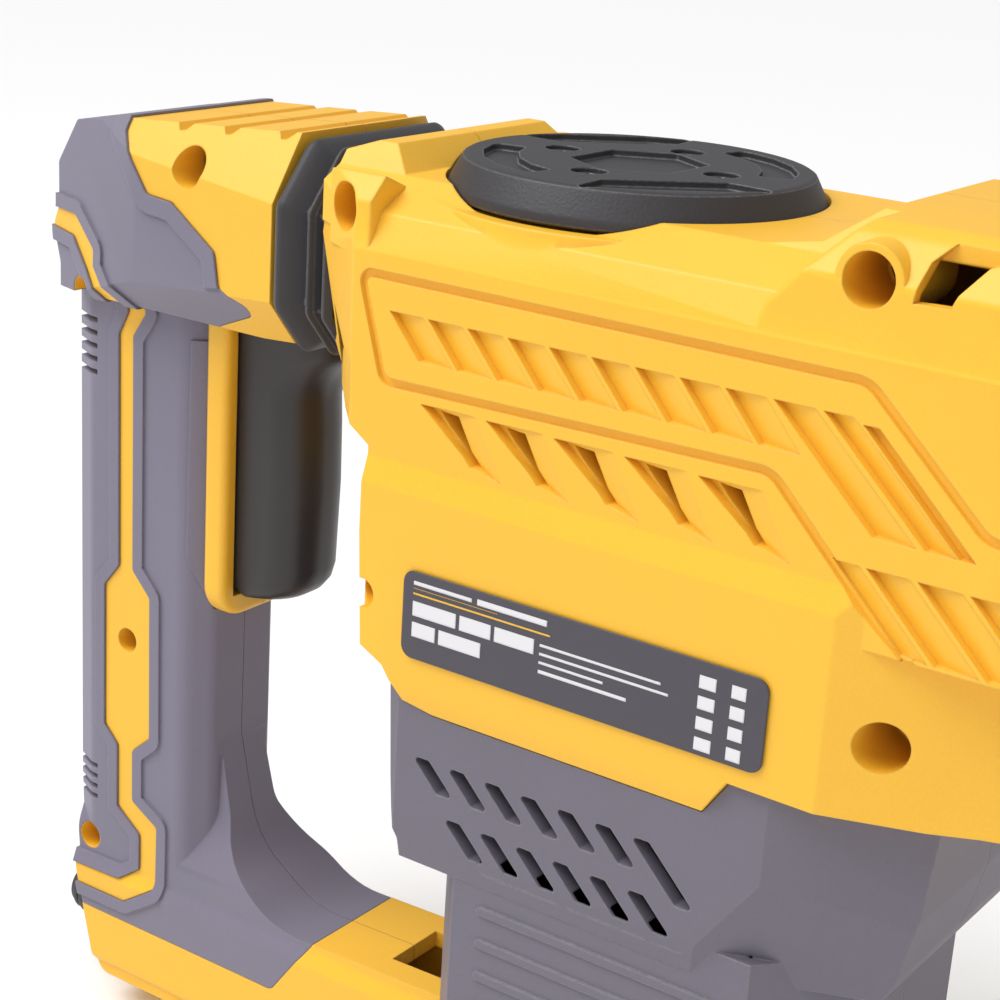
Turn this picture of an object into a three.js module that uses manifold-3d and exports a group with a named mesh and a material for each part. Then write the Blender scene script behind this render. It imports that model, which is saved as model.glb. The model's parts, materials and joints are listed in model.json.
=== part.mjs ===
// Demolition hammer with an upright motor, a crank-driven air-cushion hammer mechanism and a
// sprung D-shaped rear handle. Millimetres. +X points to the chisel, +Z is up, the motor stands
// on the Z axis and Z = 0 is the foot of the motor.
import * as THREE from 'three';
import { mergeVertices } from 'three/addons/utils/BufferGeometryUtils.js';
import Module from 'manifold-3d';

const wasm = await Module();
wasm.setup();

// ---------------------------------------------------------------- driving dimensions
const barrelSides = 20;          // facets round the hammer axis
const capSides = 24;             // facets of the crankcase cap and its seat
const potSides = 20;             // facets of the gear housing's round pot
const gap = 0.3;                 // between pieces that meet
const runGap = 0.4;              // round a piece that turns or slides
const hammerAxis = 208;          // height of the piston, striker and chisel axis

// Main housing
const housingWall = 3;
const deckHeight = 262.5;        // top surface round the crankcase cap
const crestHeight = 272;         // raised front deck
const seamHeight = 144.5;        // joint between housing and motor cover
const stepHeight = 9;            // how far that joint steps up at the front
const bodyHalfWidth = 50;
const panelProud = 2;            // rating panel beyond the sides
const panelTop = 196;
const bodyRear = -68;
const bodyFront = 122;
const collarRear = -92;          // face that the bellows meets
const collarHalfWidth = 41;
const shroudRadius = 42;
const shroudFront = 175;
const ventCount = 5;
const ventPitch = 17.6;
const ventFirst = -49;
const ventTop = 216;
const ventDepth = 10.5;
const screwHoleRadius = 5.5;

// Crank drive
const crankBack = 33;            // crank axis behind the motor axis
const gearTeeth = 55;
const pinionTeeth = 11;
const toothHeight = 0.75;        // each side of the pitch circle
const gearThickness = 8;
const gearBase = 168;
const crankThrow = 13;
const crankPinRadius = 5;
const crankShaftRadius = 7.5;
const rodLength = 66;
const rodHeight = 12;
const wristPinRadius = 4;
const chamberRadius = 29;
const castWall = 2.2;

// Hammer mechanism
const boreRadius = 20;
const cylinderWall = 3;
const cylinderRear = 22;
const cylinderFront = 158;
const pistonLength = 34;
const strikerRear = 92;
const strikerLength = 34;
const strikerNose = 24;
const strikerNoseRadius = 9;
const strikerTravel = 18;
const beatRear = 171;
const beatLength = 46;
const beatRadius = 13;
const beatTravel = 8;

// Nose and tool holder
const flangeRadius = 36;
const flangeLength = 14;
const clampSeatRadius = 30;
const clampSeatFront = 214;
const noseFront = 224;
const holderRadius = 19;
const chuckRadius = 16;
const chuckBore = 9.3;
const chuckRear = 228;
const chuckFront = 302;
const sleeveRadius = 26;
const sleeveRear = 236;
const sleeveLength = 52;
const sleeveTravel = 8;
const rollerRadius = 3.4;
const rollerLength = 10;
const rollerTravel = 2.2;
const dustCapFront = 306;

// Crankcase cap
const capRadius = 43;
const capBevel = 3;               // the rim stands this far outside the top
const capTopRadius = capRadius - capBevel;
const capTop = 268;
const capRim = 259;
const capScrewCircle = 21;
const capScrewRadius = 3.4;

// Motor and its cover
const coverHalfLength = 55;
const coverHalfWidth = 48;
const coverWall = 3.5;
const coverBottom = 22;
const shaftRadius = 6;
const coreRadius = 23;
const coreBase = 48;
const coreLength = 54;
const statorRadius = 41;
const airGap = 0.8;
const commutatorRadius = 14;
const commutatorBase = 27;
const commutatorLength = 15;
const fanRadius = 37;
const fanBase = 108;
const fanHeight = 13;
const bearingRadius = 13;
const bearingHeight = 10;
const brushWidth = 6;
const slotCount = 7;
const slotPitch = 9.9;
const slotWidth = 4.6;

// Rear handle
const handleRear = -195;
const handleBottom = 8;
const armHalfWidth = 35;
const armBottom = 214;
const armFront = -111;
const gripFront = -142;
const gripHalfWidth = 18;
const lowerArmTop = 55;
const lowerArmHalfWidth = 20;
const handleWall = 3.2;
const overmould = 2.2;
const pivotX = -72;
const pivotZ = 28;
const pivotRadius = 4;
const lugHalfWidth = 9;
const triggerHalfWidth = 12;
const triggerPinX = -118;
const triggerPinZ = 217;
const glandRadius = 9;
const damperHeight = 240;

// Side handle
const bandX = 202;
const bandHalfWidth = 9;
const bandThickness = 3;
const sideGripLength = 112;
const sideGripRadius = 16;

// ---------------------------------------------------------------- shape helpers
const facing = {
  x: new THREE.Matrix4().set(0, 0, 1, 0, 1, 0, 0, 0, 0, 1, 0, 0, 0, 0, 0, 1),
  y: new THREE.Matrix4().set(1, 0, 0, 0, 0, 0, -1, 0, 0, 1, 0, 0, 0, 0, 0, 1),
  z: new THREE.Matrix4(),
};

// A closed three.js geometry as a manifold solid, turned right side out if need be.
function solidOf(geometry) {
  const bare = geometry.clone();
  bare.deleteAttribute('normal');
  bare.deleteAttribute('uv');
  const merged = mergeVertices(bare, 1e-4);
  const vertProperties = new Float32Array(merged.attributes.position.array);
  const triVerts = new Uint32Array(merged.index.array);
  if (enclosedVolume(vertProperties, triVerts) < 0) {
    triVerts.reverse();
  }
  return new wasm.Manifold(new wasm.Mesh({ numProp: 3, vertProperties, triVerts }));
}

function enclosedVolume(points, triangles) {
  const [a, b, c] = [new THREE.Vector3(), new THREE.Vector3(), new THREE.Vector3()];
  let total = 0;
  for (let i = 0; i < triangles.length; i += 3) {
    a.fromArray(points, 3 * triangles[i]);
    b.fromArray(points, 3 * triangles[i + 1]);
    c.fromArray(points, 3 * triangles[i + 2]);
    total += a.dot(b.cross(c)) / 6;
  }
  return total;
}

// An outline extruded along an axis. Outlines are (y, z) along x, (x, z) along y, (x, y) along z.
function prism(axis, outline, low, high) {
  const shape = new THREE.Shape(outline.map(([u, v]) => new THREE.Vector2(u, v)));
  const geometry = new THREE.ExtrudeGeometry(shape, { depth: high - low, bevelEnabled: false });
  geometry.applyMatrix4(facing[axis]);
  const start = axis === 'y' ? high : low;
  const shift = { x: [start, 0, 0], y: [0, start, 0], z: [0, 0, start] }[axis];
  return solidOf(geometry.translate(...shift));
}

function circle(radius, sides, u = 0, v = 0, turn = 0) {
  const points = [];
  for (let i = 0; i < sides; i++) {
    const angle = turn + 2 * Math.PI * i / sides;
    points.push([u + radius * Math.cos(angle), v + radius * Math.sin(angle)]);
  }
  return points;
}

function rod(axis, radius, low, high, u = 0, v = 0, sides = 16) {
  return prism(axis, circle(radius, sides, u, v), low, high);
}

function tube(axis, inner, outer, low, high, u = 0, v = 0, sides = 16) {
  return rod(axis, outer, low, high, u, v, sides)
    .subtract(rod(axis, inner, low - 1, high + 1, u, v, sides));
}

function block(x0, x1, y0, y1, z0, z1) {
  const geometry = new THREE.BoxGeometry(x1 - x0, y1 - y0, z1 - z0);
  return solidOf(geometry.translate((x0 + x1) / 2, (y0 + y1) / 2, (z0 + z1) / 2));
}

// A profile of [along, radius] turned about an axis parallel to x, y or z.
function turned(axis, profile, u = 0, v = 0, sides = barrelSides) {
  const points = profile.map(([along, radius]) => new THREE.Vector2(radius, along));
  const geometry = new THREE.LatheGeometry(points, sides);
  const toAxis = { x: [0, 0, -Math.PI / 2], y: [0, 0, 0], z: [Math.PI / 2, 0, 0] }[axis];
  geometry.rotateX(toAxis[0]).rotateZ(toAxis[2]);
  const place = { x: [0, u, v], y: [u, 0, v], z: [u, v, 0] }[axis];
  return solidOf(geometry.translate(...place));
}

// An outline moved inwards by a distance, corner by corner.
function inward(outline, distance) {
  const area = outline.reduce((sum, [x, y], i) => {
    const [nextX, nextY] = outline[(i + 1) % outline.length];
    return sum + x * nextY - nextX * y;
  }, 0);
  const side = Math.sign(area) * distance;
  return outline.map((point, i) => {
    const before = outline[(i + outline.length - 1) % outline.length];
    const after = outline[(i + 1) % outline.length];
    const first = unit(before, point);
    const second = unit(point, after);
    const scale = side / (1 + first[0] * second[0] + first[1] * second[1]);
    return [point[0] - scale * (first[1] + second[1]), point[1] + scale * (first[0] + second[0])];
  });
}

function unit(from, to) {
  const length = Math.hypot(to[0] - from[0], to[1] - from[1]);
  return [(to[0] - from[0]) / length, (to[1] - from[1]) / length];
}

function mirrored(halfOutline) {
  const other = halfOutline.map(([u, v]) => [u, -v]).reverse();
  return [...halfOutline, ...other];
}

function joined(pieces) {
  return pieces.reduce((whole, piece) => whole.add(piece));
}

function cutBy(solid, cutters) {
  return cutters.reduce((rest, cutter) => rest.subtract(cutter), solid);
}

// A round wire along a helix, with plain ends.
function spring(axis, radius, wire, turns, low, high, u, v) {
  class Helix extends THREE.Curve {
    getPoint(t, target = new THREE.Vector3()) {
      const angle = 2 * Math.PI * turns * t;
      const along = low + wire + (high - low - 2 * wire) * t;
      const [across, up] = [radius * Math.cos(angle), radius * Math.sin(angle)];
      return axis === 'x' ? target.set(along, u + across, v + up) : target.set(u + across, v + up, along);
    }
  }
  const section = new THREE.Shape(circle(wire, 5).map(([a, b]) => new THREE.Vector2(a, b)));
  const steps = Math.round(turns * 8);
  return solidOf(new THREE.ExtrudeGeometry(section, { extrudePath: new Helix(), steps }));
}

// ---------------------------------------------------------------- materials and assembly
const finish = (color, roughness, metalness = 0) =>
  new THREE.MeshStandardMaterial({ color, roughness, metalness });
const yellowPlastic = finish(0xffb81c, 0.45);
const greyPlastic = finish(0x625f69, 0.6);
const gripRubber = finish(0x5c5963, 0.75);
const blackRubber = finish(0x2c2a2d, 0.8);
const blackPlastic = finish(0x29282b, 0.5);
const plateFoil = finish(0x4a474f, 0.4);
const steel = finish(0x9a9ca0, 0.35, 0.9);
const darkSteel = finish(0x45464a, 0.4, 0.8);
const castAlloy = finish(0xb4b6ba, 0.5, 0.8);
const brass = finish(0xb5903c, 0.4, 0.9);
const copper = finish(0xb06a3c, 0.4, 0.9);
const carbon = finish(0x1d1d1f, 0.9);

const group = new THREE.Group();

function place(name, solid, material, holder = group) {
  const mesh = solid.getMesh();
  const geometry = new THREE.BufferGeometry();
  geometry.setAttribute('position', new THREE.BufferAttribute(mesh.vertProperties, 3));
  geometry.setIndex(new THREE.BufferAttribute(mesh.triVerts, 1));
  const object = new THREE.Mesh(geometry, material);
  object.name = name;
  holder.add(object);
}

const rightHalf = block(-400, 400, -200, -gap / 2, -50, 400);
const leftHalf = block(-400, 400, gap / 2, 200, -50, 400);

function placeHalves(name, solid, material) {
  place(`${name}_right`, solid.intersect(rightHalf), material);
  place(`${name}_left`, solid.intersect(leftHalf), material);
}

// ---------------------------------------------------------------- main housing
// The joint line between housing and motor cover, from rear to front, as (x, z).
const seamLine = [
  [bodyRear + 1.5, seamHeight + 12.3], [bodyRear + 8, seamHeight + stepHeight],
  [bodyRear + 13.5, seamHeight + 1.5], [bodyRear + 22, seamHeight],
  [25, seamHeight], [31, seamHeight + stepHeight], [72, seamHeight + stepHeight - 0.5],
];

const housingSide = [
  [collarRear, 265.5], [collarRear + 8, crestHeight - 3.6], [collarRear + 13, crestHeight - 3.6],
  [collarRear + 19, deckHeight], [18, deckHeight], [30, deckHeight + 2], [40, crestHeight],
  [bodyFront - 18, crestHeight], [bodyFront, hammerAxis + shroudRadius],
  [bodyFront, hammerAxis - shroudRadius + 2], [bodyFront - 22, seamHeight + stepHeight + 1],
  ...[...seamLine].reverse(),
  [bodyRear, 184], [bodyRear, hammerAxis - 4], [bodyRear - 6, hammerAxis],
  [collarRear, hammerAxis + 6],
];
const upperPlan = mirrored([
  [collarRear, collarHalfWidth], [-74, bodyHalfWidth], [84, bodyHalfWidth],
  [bodyFront, shroudRadius],
]);
const lowerPlan = mirrored([
  [bodyRear - 2, bodyHalfWidth + panelProud], [51, bodyHalfWidth + panelProud], [82, shroudRadius - 2],
  [bodyFront, shroudRadius - 12],
]);
const upperSection = [
  [-bodyHalfWidth, panelTop - 6], [bodyHalfWidth, panelTop - 6], [bodyHalfWidth, 248], [46, 256],
  [34, deckHeight], [26, crestHeight + 1], [-26, crestHeight + 1], [-34, deckHeight], [-46, 256],
  [-bodyHalfWidth, 248],
];
const panelHalfWidth = bodyHalfWidth + panelProud;
const lowerSection = [
  [-panelHalfWidth + 3, seamHeight - 5], [panelHalfWidth - 3, seamHeight - 5],
  [panelHalfWidth, seamHeight + 6], [panelHalfWidth, panelTop], [bodyHalfWidth, panelTop + 6],
  [-bodyHalfWidth, panelTop + 6], [-panelHalfWidth, panelTop], [-panelHalfWidth, seamHeight + 6],
];

function housingBlock(plan, section, inset) {
  return prism('y', inward(housingSide, inset), -70, 70)
    .intersect(prism('z', inward(plan, inset), 100, 300))
    .intersect(prism('x', inward(section, inset), -150, 250));
}

function housingShape(inset) {
  const shroudEnd = inset ? shroudFront + 1 : shroudFront;
  const shroud = rod('x', shroudRadius - inset, 60, shroudEnd, 0, hammerAxis, barrelSides);
  return joined([
    housingBlock(upperPlan, upperSection, inset),
    housingBlock(lowerPlan, lowerSection, inset),
    shroud,
  ]);
}

function slantedSlot(x, top, width, depth, slant) {
  return prism('y', [
    [x, top], [x + width, top], [x + width + slant, top - depth], [x + slant, top - depth],
  ], -80, 80);
}

const screwPlaces = [[-78, 250], [51, 262], [62, 170], [-63, 168]];

function housing() {
  const belowSeam = prism('y', [
    ...seamLine, [bodyFront + 5, seamHeight + stepHeight], [bodyFront + 5, 100], [-80, 100],
    [-80, seamHeight + 12.3],
  ], -80, 80);
  const openBottom = block(-56, 56, -bodyHalfWidth + 6, bodyHalfWidth - 6, seamHeight - 10, seamHeight + 20);
  const capOpening = rod('z', capRadius - 7, deckHeight - 12, crestHeight + 5, -crankBack, 0, capSides);
  const collarOpening = block(collarRear - 1, bodyRear + 10, -28, 28, hammerAxis + 18, deckHeight - 6);
  const capSeat = rod('z', capRadius + 1, deckHeight - 3, capRim - gap, -crankBack, 0, capSides)
    .add(rod('z', capRadius + runGap, capRim - gap, crestHeight + 5, -crankBack, 0, capSides));
  const cavity = housingShape(housingWall);
  const vents = [];
  for (let i = 0; i < ventCount; i++) {
    const x = ventFirst + i * ventPitch;
    vents.push(prism('y', [[x, ventTop], [x + 5, ventTop], [x + 10.5, ventTop - ventDepth]], -80, 80));
  }
  const bossInner = chamberRadius + castWall + 2;
  const bosses = screwPlaces.map(([x, z]) => rod('y', screwHoleRadius + 2.5, -60, 60, x, z, 10)
    .subtract(block(x - 20, x + 20, -bossInner, bossInner, z - 20, z + 20)));
  const holes = screwPlaces.map(([x, z]) => rod('y', screwHoleRadius, -80, 80, x, z, 10));
  const bossed = housingShape(0).subtract(cavity).add(joined(bosses).intersect(housingShape(0.5)));
  return cutBy(bossed, [
    belowSeam, openBottom, capOpening, collarOpening, capSeat, ...vents, ...holes,
  ]);
}

placeHalves('housing', housing(), yellowPlastic);

// ---------------------------------------------------------------- rating plate
function ratingPlate() {
  const [x0, x1, z0, z1, corner] = [-54, 39, 158, 179, 3];
  const outline = [
    [x0 + corner, z0], [x1 - corner, z0], [x1, z0 + corner], [x1, z1 - corner], [x1 - corner, z1],
    [x0 + corner, z1], [x0, z1 - corner], [x0, z0 + corner],
  ];
  return prism('y', outline, -panelHalfWidth - 1, -panelHalfWidth - gap);
}
place('rating_plate', ratingPlate(), plateFoil);

// ---------------------------------------------------------------- crankcase cap
const capScrews = [0, 90, 180, 270].map((degrees) => {
  const angle = THREE.MathUtils.degToRad(degrees);
  return [-crankBack + capScrewCircle * Math.cos(angle), capScrewCircle * Math.sin(angle)];
});
const castTop = deckHeight - 8;          // top flange of the gear housing
const capSpigot = chamberRadius - runGap;

function crankcaseCap() {
  const dome = turned('z', [
    [castTop + gap, 0], [castTop + gap, capSpigot + 4], [capRim, capSpigot + 4], [capRim, capRadius],
    [capRim + 2, capRadius], [capTop, capTopRadius], [capTop, 0],
  ], -crankBack, 0, capSides);
  const socket = prism('z', circle(11, 6, -crankBack, 0), capTop - 1.5, capTop + 1);
  const wells = capScrews.map(([x, y]) => rod('z', capScrewRadius + 1.4, capTop - 4, capTop + 1, x, y, 8));
  const shanks = capScrews.map(([x, y]) => rod('z', 2.4, castTop - 1, capTop, x, y, 8));
  return cutBy(dome, [socket, ...wells, ...shanks]);
}
place('crankcase_cap', crankcaseCap(), blackPlastic);

capScrews.forEach(([x, y], i) => {
  const head = rod('z', capScrewRadius, capTop - 4 + gap, capTop - 0.8, x, y, 8)
    .subtract(prism('z', circle(1.7, 6, x, y), capTop - 2.6, capTop));
  const shank = rod('z', 2, castTop - 7, capTop - 3.5, x, y, 8);
  place(`cap_screw_${i + 1}`, head.add(shank), steel);
});

// ---------------------------------------------------------------- gear housing
const crankX = -crankBack;
const castRadius = chamberRadius + castWall;
const cylinderOuter = boreRadius + cylinderWall;
const barrelInner = cylinderOuter + gap;
const barrelOuter = barrelInner + 4.5;
const plateBase = gearBase - 4;          // floor under the gears
const bearingSeat = plateBase - bearingHeight - 3;
const chamberFloor = gearBase - 1;

function gearHousing() {
  const pot = rod('z', castRadius, plateBase, castTop, crankX, 0, potSides);
  const floor = block(crankX, 24, -castRadius, castRadius, plateBase, gearBase + gearThickness + 4);
  const cheek = block(crankX, 26, -castRadius, castRadius, plateBase, hammerAxis + 30);
  const barrel = rod('x', barrelOuter, 0, shroudFront - gap, 0, hammerAxis, barrelSides);
  const bosses = [
    rod('z', bearingRadius + 3, bearingSeat, plateBase + 1, 0, 0, 16),
    rod('z', bearingRadius + 3, bearingSeat, plateBase + 1, crankX, 0, potSides),
  ];
  const chamber = rod('z', chamberRadius, chamberFloor, castTop + 1, crankX, 0, potSides);
  const pinionRoom = rod('z', 8.5, chamberFloor, gearBase + gearThickness + 1, 0, 0, 18);
  const rodRoom = rod('x', boreRadius + 1, crankX, cylinderRear + 1, 0, hammerAxis, barrelSides);
  const bore = rod('x', barrelInner, cylinderRear - gap, shroudFront + 1, 0, hammerAxis, barrelSides);
  const bearingBores = [
    rod('z', bearingRadius + gap, bearingSeat - 1, bearingSeat + bearingHeight + 1, 0, 0, 16),
    rod('z', bearingRadius + gap, bearingSeat - 1, bearingSeat + bearingHeight + 1, crankX, 0, potSides),
  ];
  const shaftHoles = [
    rod('z', shaftRadius + 1.5, bearingSeat, chamberFloor + 1, 0, 0, 18),
    rod('z', crankShaftRadius + 1, bearingSeat, chamberFloor + 1, crankX, 0, potSides),
  ];
  const padBase = castTop - 12;
  const potRoom = rod('z', castRadius - 0.5, padBase - 1, castTop + 1, crankX, 0, potSides);
  const screwHoles = capScrews.map(([x, y]) => rod('z', 2.3, castTop - 9, castTop + 1, x, y, 8));
  const pads = capScrews.map(([x, y]) => {
    const [wallX, wallY] = [x - crankX, y].map((out) => Math.sign(Math.round(out)) * (chamberRadius + 1));
    const web = block(Math.min(x, crankX + wallX) - 3, Math.max(x, crankX + wallX) + 3,
      Math.min(y, wallY) - 3, Math.max(y, wallY) + 3, padBase, castTop);
    return rod('z', 5.4, padBase, castTop, x, y, 8).add(web.intersect(potRoom));
  });
  return cutBy(joined([pot, floor, cheek, barrel, ...bosses]), [
    chamber, pinionRoom, rodRoom, bore, ...bearingBores, ...shaftHoles,
  ]).add(joined(pads)).subtract(joined(screwHoles));
}
place('gear_housing', gearHousing(), castAlloy);

// ---------------------------------------------------------------- crank drive
const moduleSize = 2 * crankBack / (gearTeeth + pinionTeeth);

// A spur gear outline with slim straight teeth; phase is the angle of the first tooth.
function gearOutline(teeth, centreX, phase) {
  const pitchRadius = teeth * moduleSize / 2;
  const root = pitchRadius - moduleSize - 0.3;
  const tip = pitchRadius + toothHeight * moduleSize;
  const step = 2 * Math.PI / teeth;
  const points = [];
  for (let i = 0; i < teeth; i++) {
    for (const [radius, share] of [[root, -0.28], [tip, -0.1], [tip, 0.1], [root, 0.28]]) {
      const angle = phase + step * (i + share);
      points.push([centreX + radius * Math.cos(angle), radius * Math.sin(angle)]);
    }
  }
  return points;
}

function crankGear() {
  const wheel = prism('z', gearOutline(gearTeeth, crankX, 0), gearBase, gearBase + gearThickness);
  const disc = rod('z', crankThrow + crankPinRadius + 4, gearBase, gearBase + gearThickness + 8, crankX, 0);
  const shaft = rod('z', crankShaftRadius, bearingSeat + 1, gearBase + 1, crankX, 0, potSides);
  const pinTop = hammerAxis - rodHeight / 2 - 0.6;
  const pin = rod('z', crankPinRadius, gearBase, pinTop, crankX + crankThrow, 0, 24);
  return joined([wheel, disc, shaft, pin]);
}
place('crank_gear', crankGear(), darkSteel);

function bearing(x, base, inner) {
  return tube('z', inner + gap, bearingRadius, base + gap, base + bearingHeight, x, 0, 28);
}
place('crank_bearing', bearing(crankX, bearingSeat, crankShaftRadius), steel);
place('motor_bearing_upper', bearing(0, bearingSeat, shaftRadius), steel);

const rodEyeX = crankX + crankThrow;
const wristX = rodEyeX + rodLength;

function conRod() {
  const [low, high] = [hammerAxis - rodHeight / 2, hammerAxis + rodHeight / 2];
  const bigEye = tube('z', crankPinRadius + runGap, crankPinRadius + 4, low, high, rodEyeX, 0, 24);
  const smallEye = tube('z', wristPinRadius + runGap, wristPinRadius + 4, low, high, wristX, 0, 24);
  const beam = block(rodEyeX + crankPinRadius + 2, wristX - wristPinRadius - 2, -4, 4, low + 2, high - 2);
  return joined([bigEye, smallEye, beam]);
}
place('con_rod', conRod(), steel);

const pistonRear = wristX - 13;
const pistonRadius = boreRadius - runGap;
const pistonFront = pistonRear + pistonLength;

function piston() {
  const body = rod('x', pistonRadius, pistonRear, pistonFront, 0, hammerAxis, barrelSides);
  const ringGroove = tube('x', pistonRadius - 1.6, pistonRadius + 2, pistonFront - 8, pistonFront - 5, 0,
    hammerAxis, barrelSides);
  const slot = block(pistonRear - 1, wristX + wristPinRadius + 5, -30, 30,
    hammerAxis - rodHeight / 2 - 1, hammerAxis + rodHeight / 2 + 1);
  const pinHole = rod('z', wristPinRadius + gap, hammerAxis - 30, hammerAxis + 30, wristX, 0, 24);
  return cutBy(body, [ringGroove, slot, pinHole]);
}
place('piston', piston(), castAlloy);
place('wrist_pin', rod('z', wristPinRadius, hammerAxis - 16, hammerAxis + 16, wristX, 0, 20), steel);
place('piston_seal', tube('x', pistonRadius - 1.3, pistonRadius, pistonFront - 7.7, pistonFront - 5.3, 0,
  hammerAxis, barrelSides), blackRubber);

place('cylinder', tube('x', boreRadius, cylinderOuter, cylinderRear, cylinderFront, 0, hammerAxis,
  barrelSides), steel);

// ---------------------------------------------------------------- hammer mechanism
function striker() {
  const front = strikerRear + strikerLength;
  return turned('x', [
    [strikerRear, 0], [strikerRear, pistonRadius], [front, pistonRadius], [front + 4, strikerNoseRadius],
    [front + strikerNose - 2, strikerNoseRadius], [front + strikerNose, strikerNoseRadius - 2],
    [front + strikerNose, 0],
  ], 0, hammerAxis);
}
place('striker', striker(), steel);

function beatPiece() {
  const front = beatRear + beatLength;
  return turned('x', [
    [beatRear, 0], [beatRear, beatRadius - 4], [beatRear + 8, beatRadius - 4], [beatRear + 12, beatRadius],
    [front - 14, beatRadius], [front - 10, chuckBore - 1], [front, chuckBore - 1], [front, 0],
  ], 0, hammerAxis);
}
place('beat_piece', beatPiece(), steel);

// ---------------------------------------------------------------- nose and tool holder
function noseBarrel() {
  const rear = shroudFront + gap;
  const shell = turned('x', [
    [rear, 0], [rear, flangeRadius], [rear + flangeLength, flangeRadius],
    [rear + flangeLength + 2, clampSeatRadius], [clampSeatFront, clampSeatRadius],
    [clampSeatFront + 1, clampSeatRadius + 2], [noseFront - 4, clampSeatRadius + 2],
    [noseFront, sleeveRadius], [noseFront, 0],
  ], 0, hammerAxis, barrelSides);
  return shell.subtract(rod('x', holderRadius + gap, rear - 1, noseFront + 1, 0, hammerAxis, barrelSides));
}
place('nose_barrel', noseBarrel(), darkSteel);

const rollerMid = chuckRear + 44;        // along the chuck
const rollerOut = chuckBore + rollerRadius + 0.2;
const holderRear = cylinderFront + gap;

function toolHolder() {
  const body = turned('x', [
    [holderRear, 0], [holderRear, cylinderOuter], [shroudFront - 2, cylinderOuter],
    [shroudFront - 2, holderRadius], [noseFront + 4, holderRadius], [noseFront + 4, chuckRadius],
    [chuckFront, chuckRadius], [chuckFront, 0],
  ], 0, hammerAxis);
  const beatBore = rod('x', beatRadius + runGap, holderRear - 1, chuckRear, 0, hammerAxis, barrelSides);
  const toolBore = rod('x', chuckBore, chuckRear - 1, chuckFront + 1, 0, hammerAxis, barrelSides);
  const window = block(rollerMid - rollerLength / 2 - gap, rollerMid + rollerLength / 2 + gap,
    -rollerRadius - gap, rollerRadius + gap, hammerAxis - 30, hammerAxis + 30);
  return cutBy(body, [beatBore, toolBore, window]);
}
place('tool_holder', toolHolder(), steel);

const rollerRear = rollerMid - rollerLength / 2;
for (const [name, side] of [['lock_roller_upper', 1], ['lock_roller_lower', -1]]) {
  place(name, rod('x', rollerRadius, rollerRear, rollerRear + rollerLength, 0,
    hammerAxis + side * rollerOut, 20), steel);
}

// The sleeve's inner cone lets the rollers out as it is drawn back.
const rollerTip = rollerOut + rollerRadius;
const coneSlope = rollerTravel / sleeveTravel;
const sleeveFront = sleeveRear + sleeveLength;

function lockSleeve() {
  const inner = chuckRadius + runGap;
  const cone = (x) => rollerTip + 0.25 + coneSlope * Math.max(0, x - rollerRear);
  const springRoom = chuckRadius + 5;
  const springEnd = rollerRear - 10;
  const shell = turned('x', [
    [sleeveRear, inner], [sleeveRear, sleeveRadius - 3], [sleeveRear + 5, sleeveRadius],
    [sleeveRear + 12, sleeveRadius], [sleeveRear + 18, sleeveRadius - 3],
    [sleeveFront - 10, sleeveRadius - 4], [sleeveFront - 3, sleeveRadius - 1], [sleeveFront, sleeveRadius - 3],
    [sleeveFront, cone(sleeveFront)], [rollerRear, cone(rollerRear)], [springEnd + 2, inner],
    [springEnd, inner], [springEnd, springRoom], [sleeveRear + 4, springRoom], [sleeveRear + 4, inner],
    [sleeveRear, inner],
  ], 0, hammerAxis, barrelSides);
  return shell;
}
place('lock_sleeve', lockSleeve(), blackPlastic);
place('sleeve_spring', spring('x', chuckRadius + 2.7, 1.1, 5, sleeveRear + 4.4, rollerRear - 10.4, 0,
  hammerAxis), steel);

function dustCap() {
  const rear = sleeveFront + 1.2;
  return turned('x', [
    [rear, chuckRadius + gap], [rear, sleeveRadius - 4], [dustCapFront - 6, sleeveRadius - 7],
    [dustCapFront, chuckBore + 3], [dustCapFront, chuckBore + 0.5], [chuckFront + gap, chuckBore + 0.5],
    [chuckFront + gap, chuckRadius + gap], [rear, chuckRadius + gap],
  ], 0, hammerAxis, barrelSides);
}
place('dust_cap', dustCap(), blackRubber);

// ---------------------------------------------------------------- motor cover
const coverSide = [
  [-coverHalfLength, coverBottom], [coverHalfLength, coverBottom], [coverHalfLength + 1, 92],
  [66, 112], [70, 128], [72, seamHeight + stepHeight - 0.5],
  ...seamLine.slice(0, -1).reverse(),
  [-60, 124], [-58, 117], [-coverHalfLength, 110],
];
const coverPlan = mirrored([
  [bodyRear + 1, 40], [-56, bodyHalfWidth], [40, bodyHalfWidth], [72, 34],
]);
const coverFront = [
  [-coverHalfWidth, 0], [coverHalfWidth, 0], [coverHalfWidth, 108], [bodyHalfWidth + 0.3, 114],
  [bodyHalfWidth + 0.3, 200], [-bodyHalfWidth - 0.3, 200], [-bodyHalfWidth - 0.3, 114],
  [-coverHalfWidth, 108],
];
const columnPlan = mirrored([
  [-coverHalfLength, 28], [-coverHalfLength + 16, coverHalfWidth],
  [coverHalfLength - 16, coverHalfWidth], [coverHalfLength, 28],
]);

function coverShape() {
  const lower = prism('z', columnPlan, coverBottom - 1, 112);
  const upper = prism('z', coverPlan, 105, 170);
  return prism('y', coverSide, -70, 70)
    .intersect(prism('x', coverFront, -120, 120))
    .intersect(lower.add(upper));
}

function coverRoom() {
  const rear = -coverHalfLength + coverWall;
  const lower = prism('z', inward(columnPlan, coverWall), coverBottom - 1, 112.5);
  const upper = prism('z', inward(coverPlan, coverWall), 112, 190)
    .intersect(prism('y', [[rear, 111], [62, 111], [67, 130], [67, 190], [rear - 4, 190], [rear - 4, 124]],
      -bodyHalfWidth + coverWall, bodyHalfWidth - coverWall));
  return lower.add(upper);
}

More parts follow.
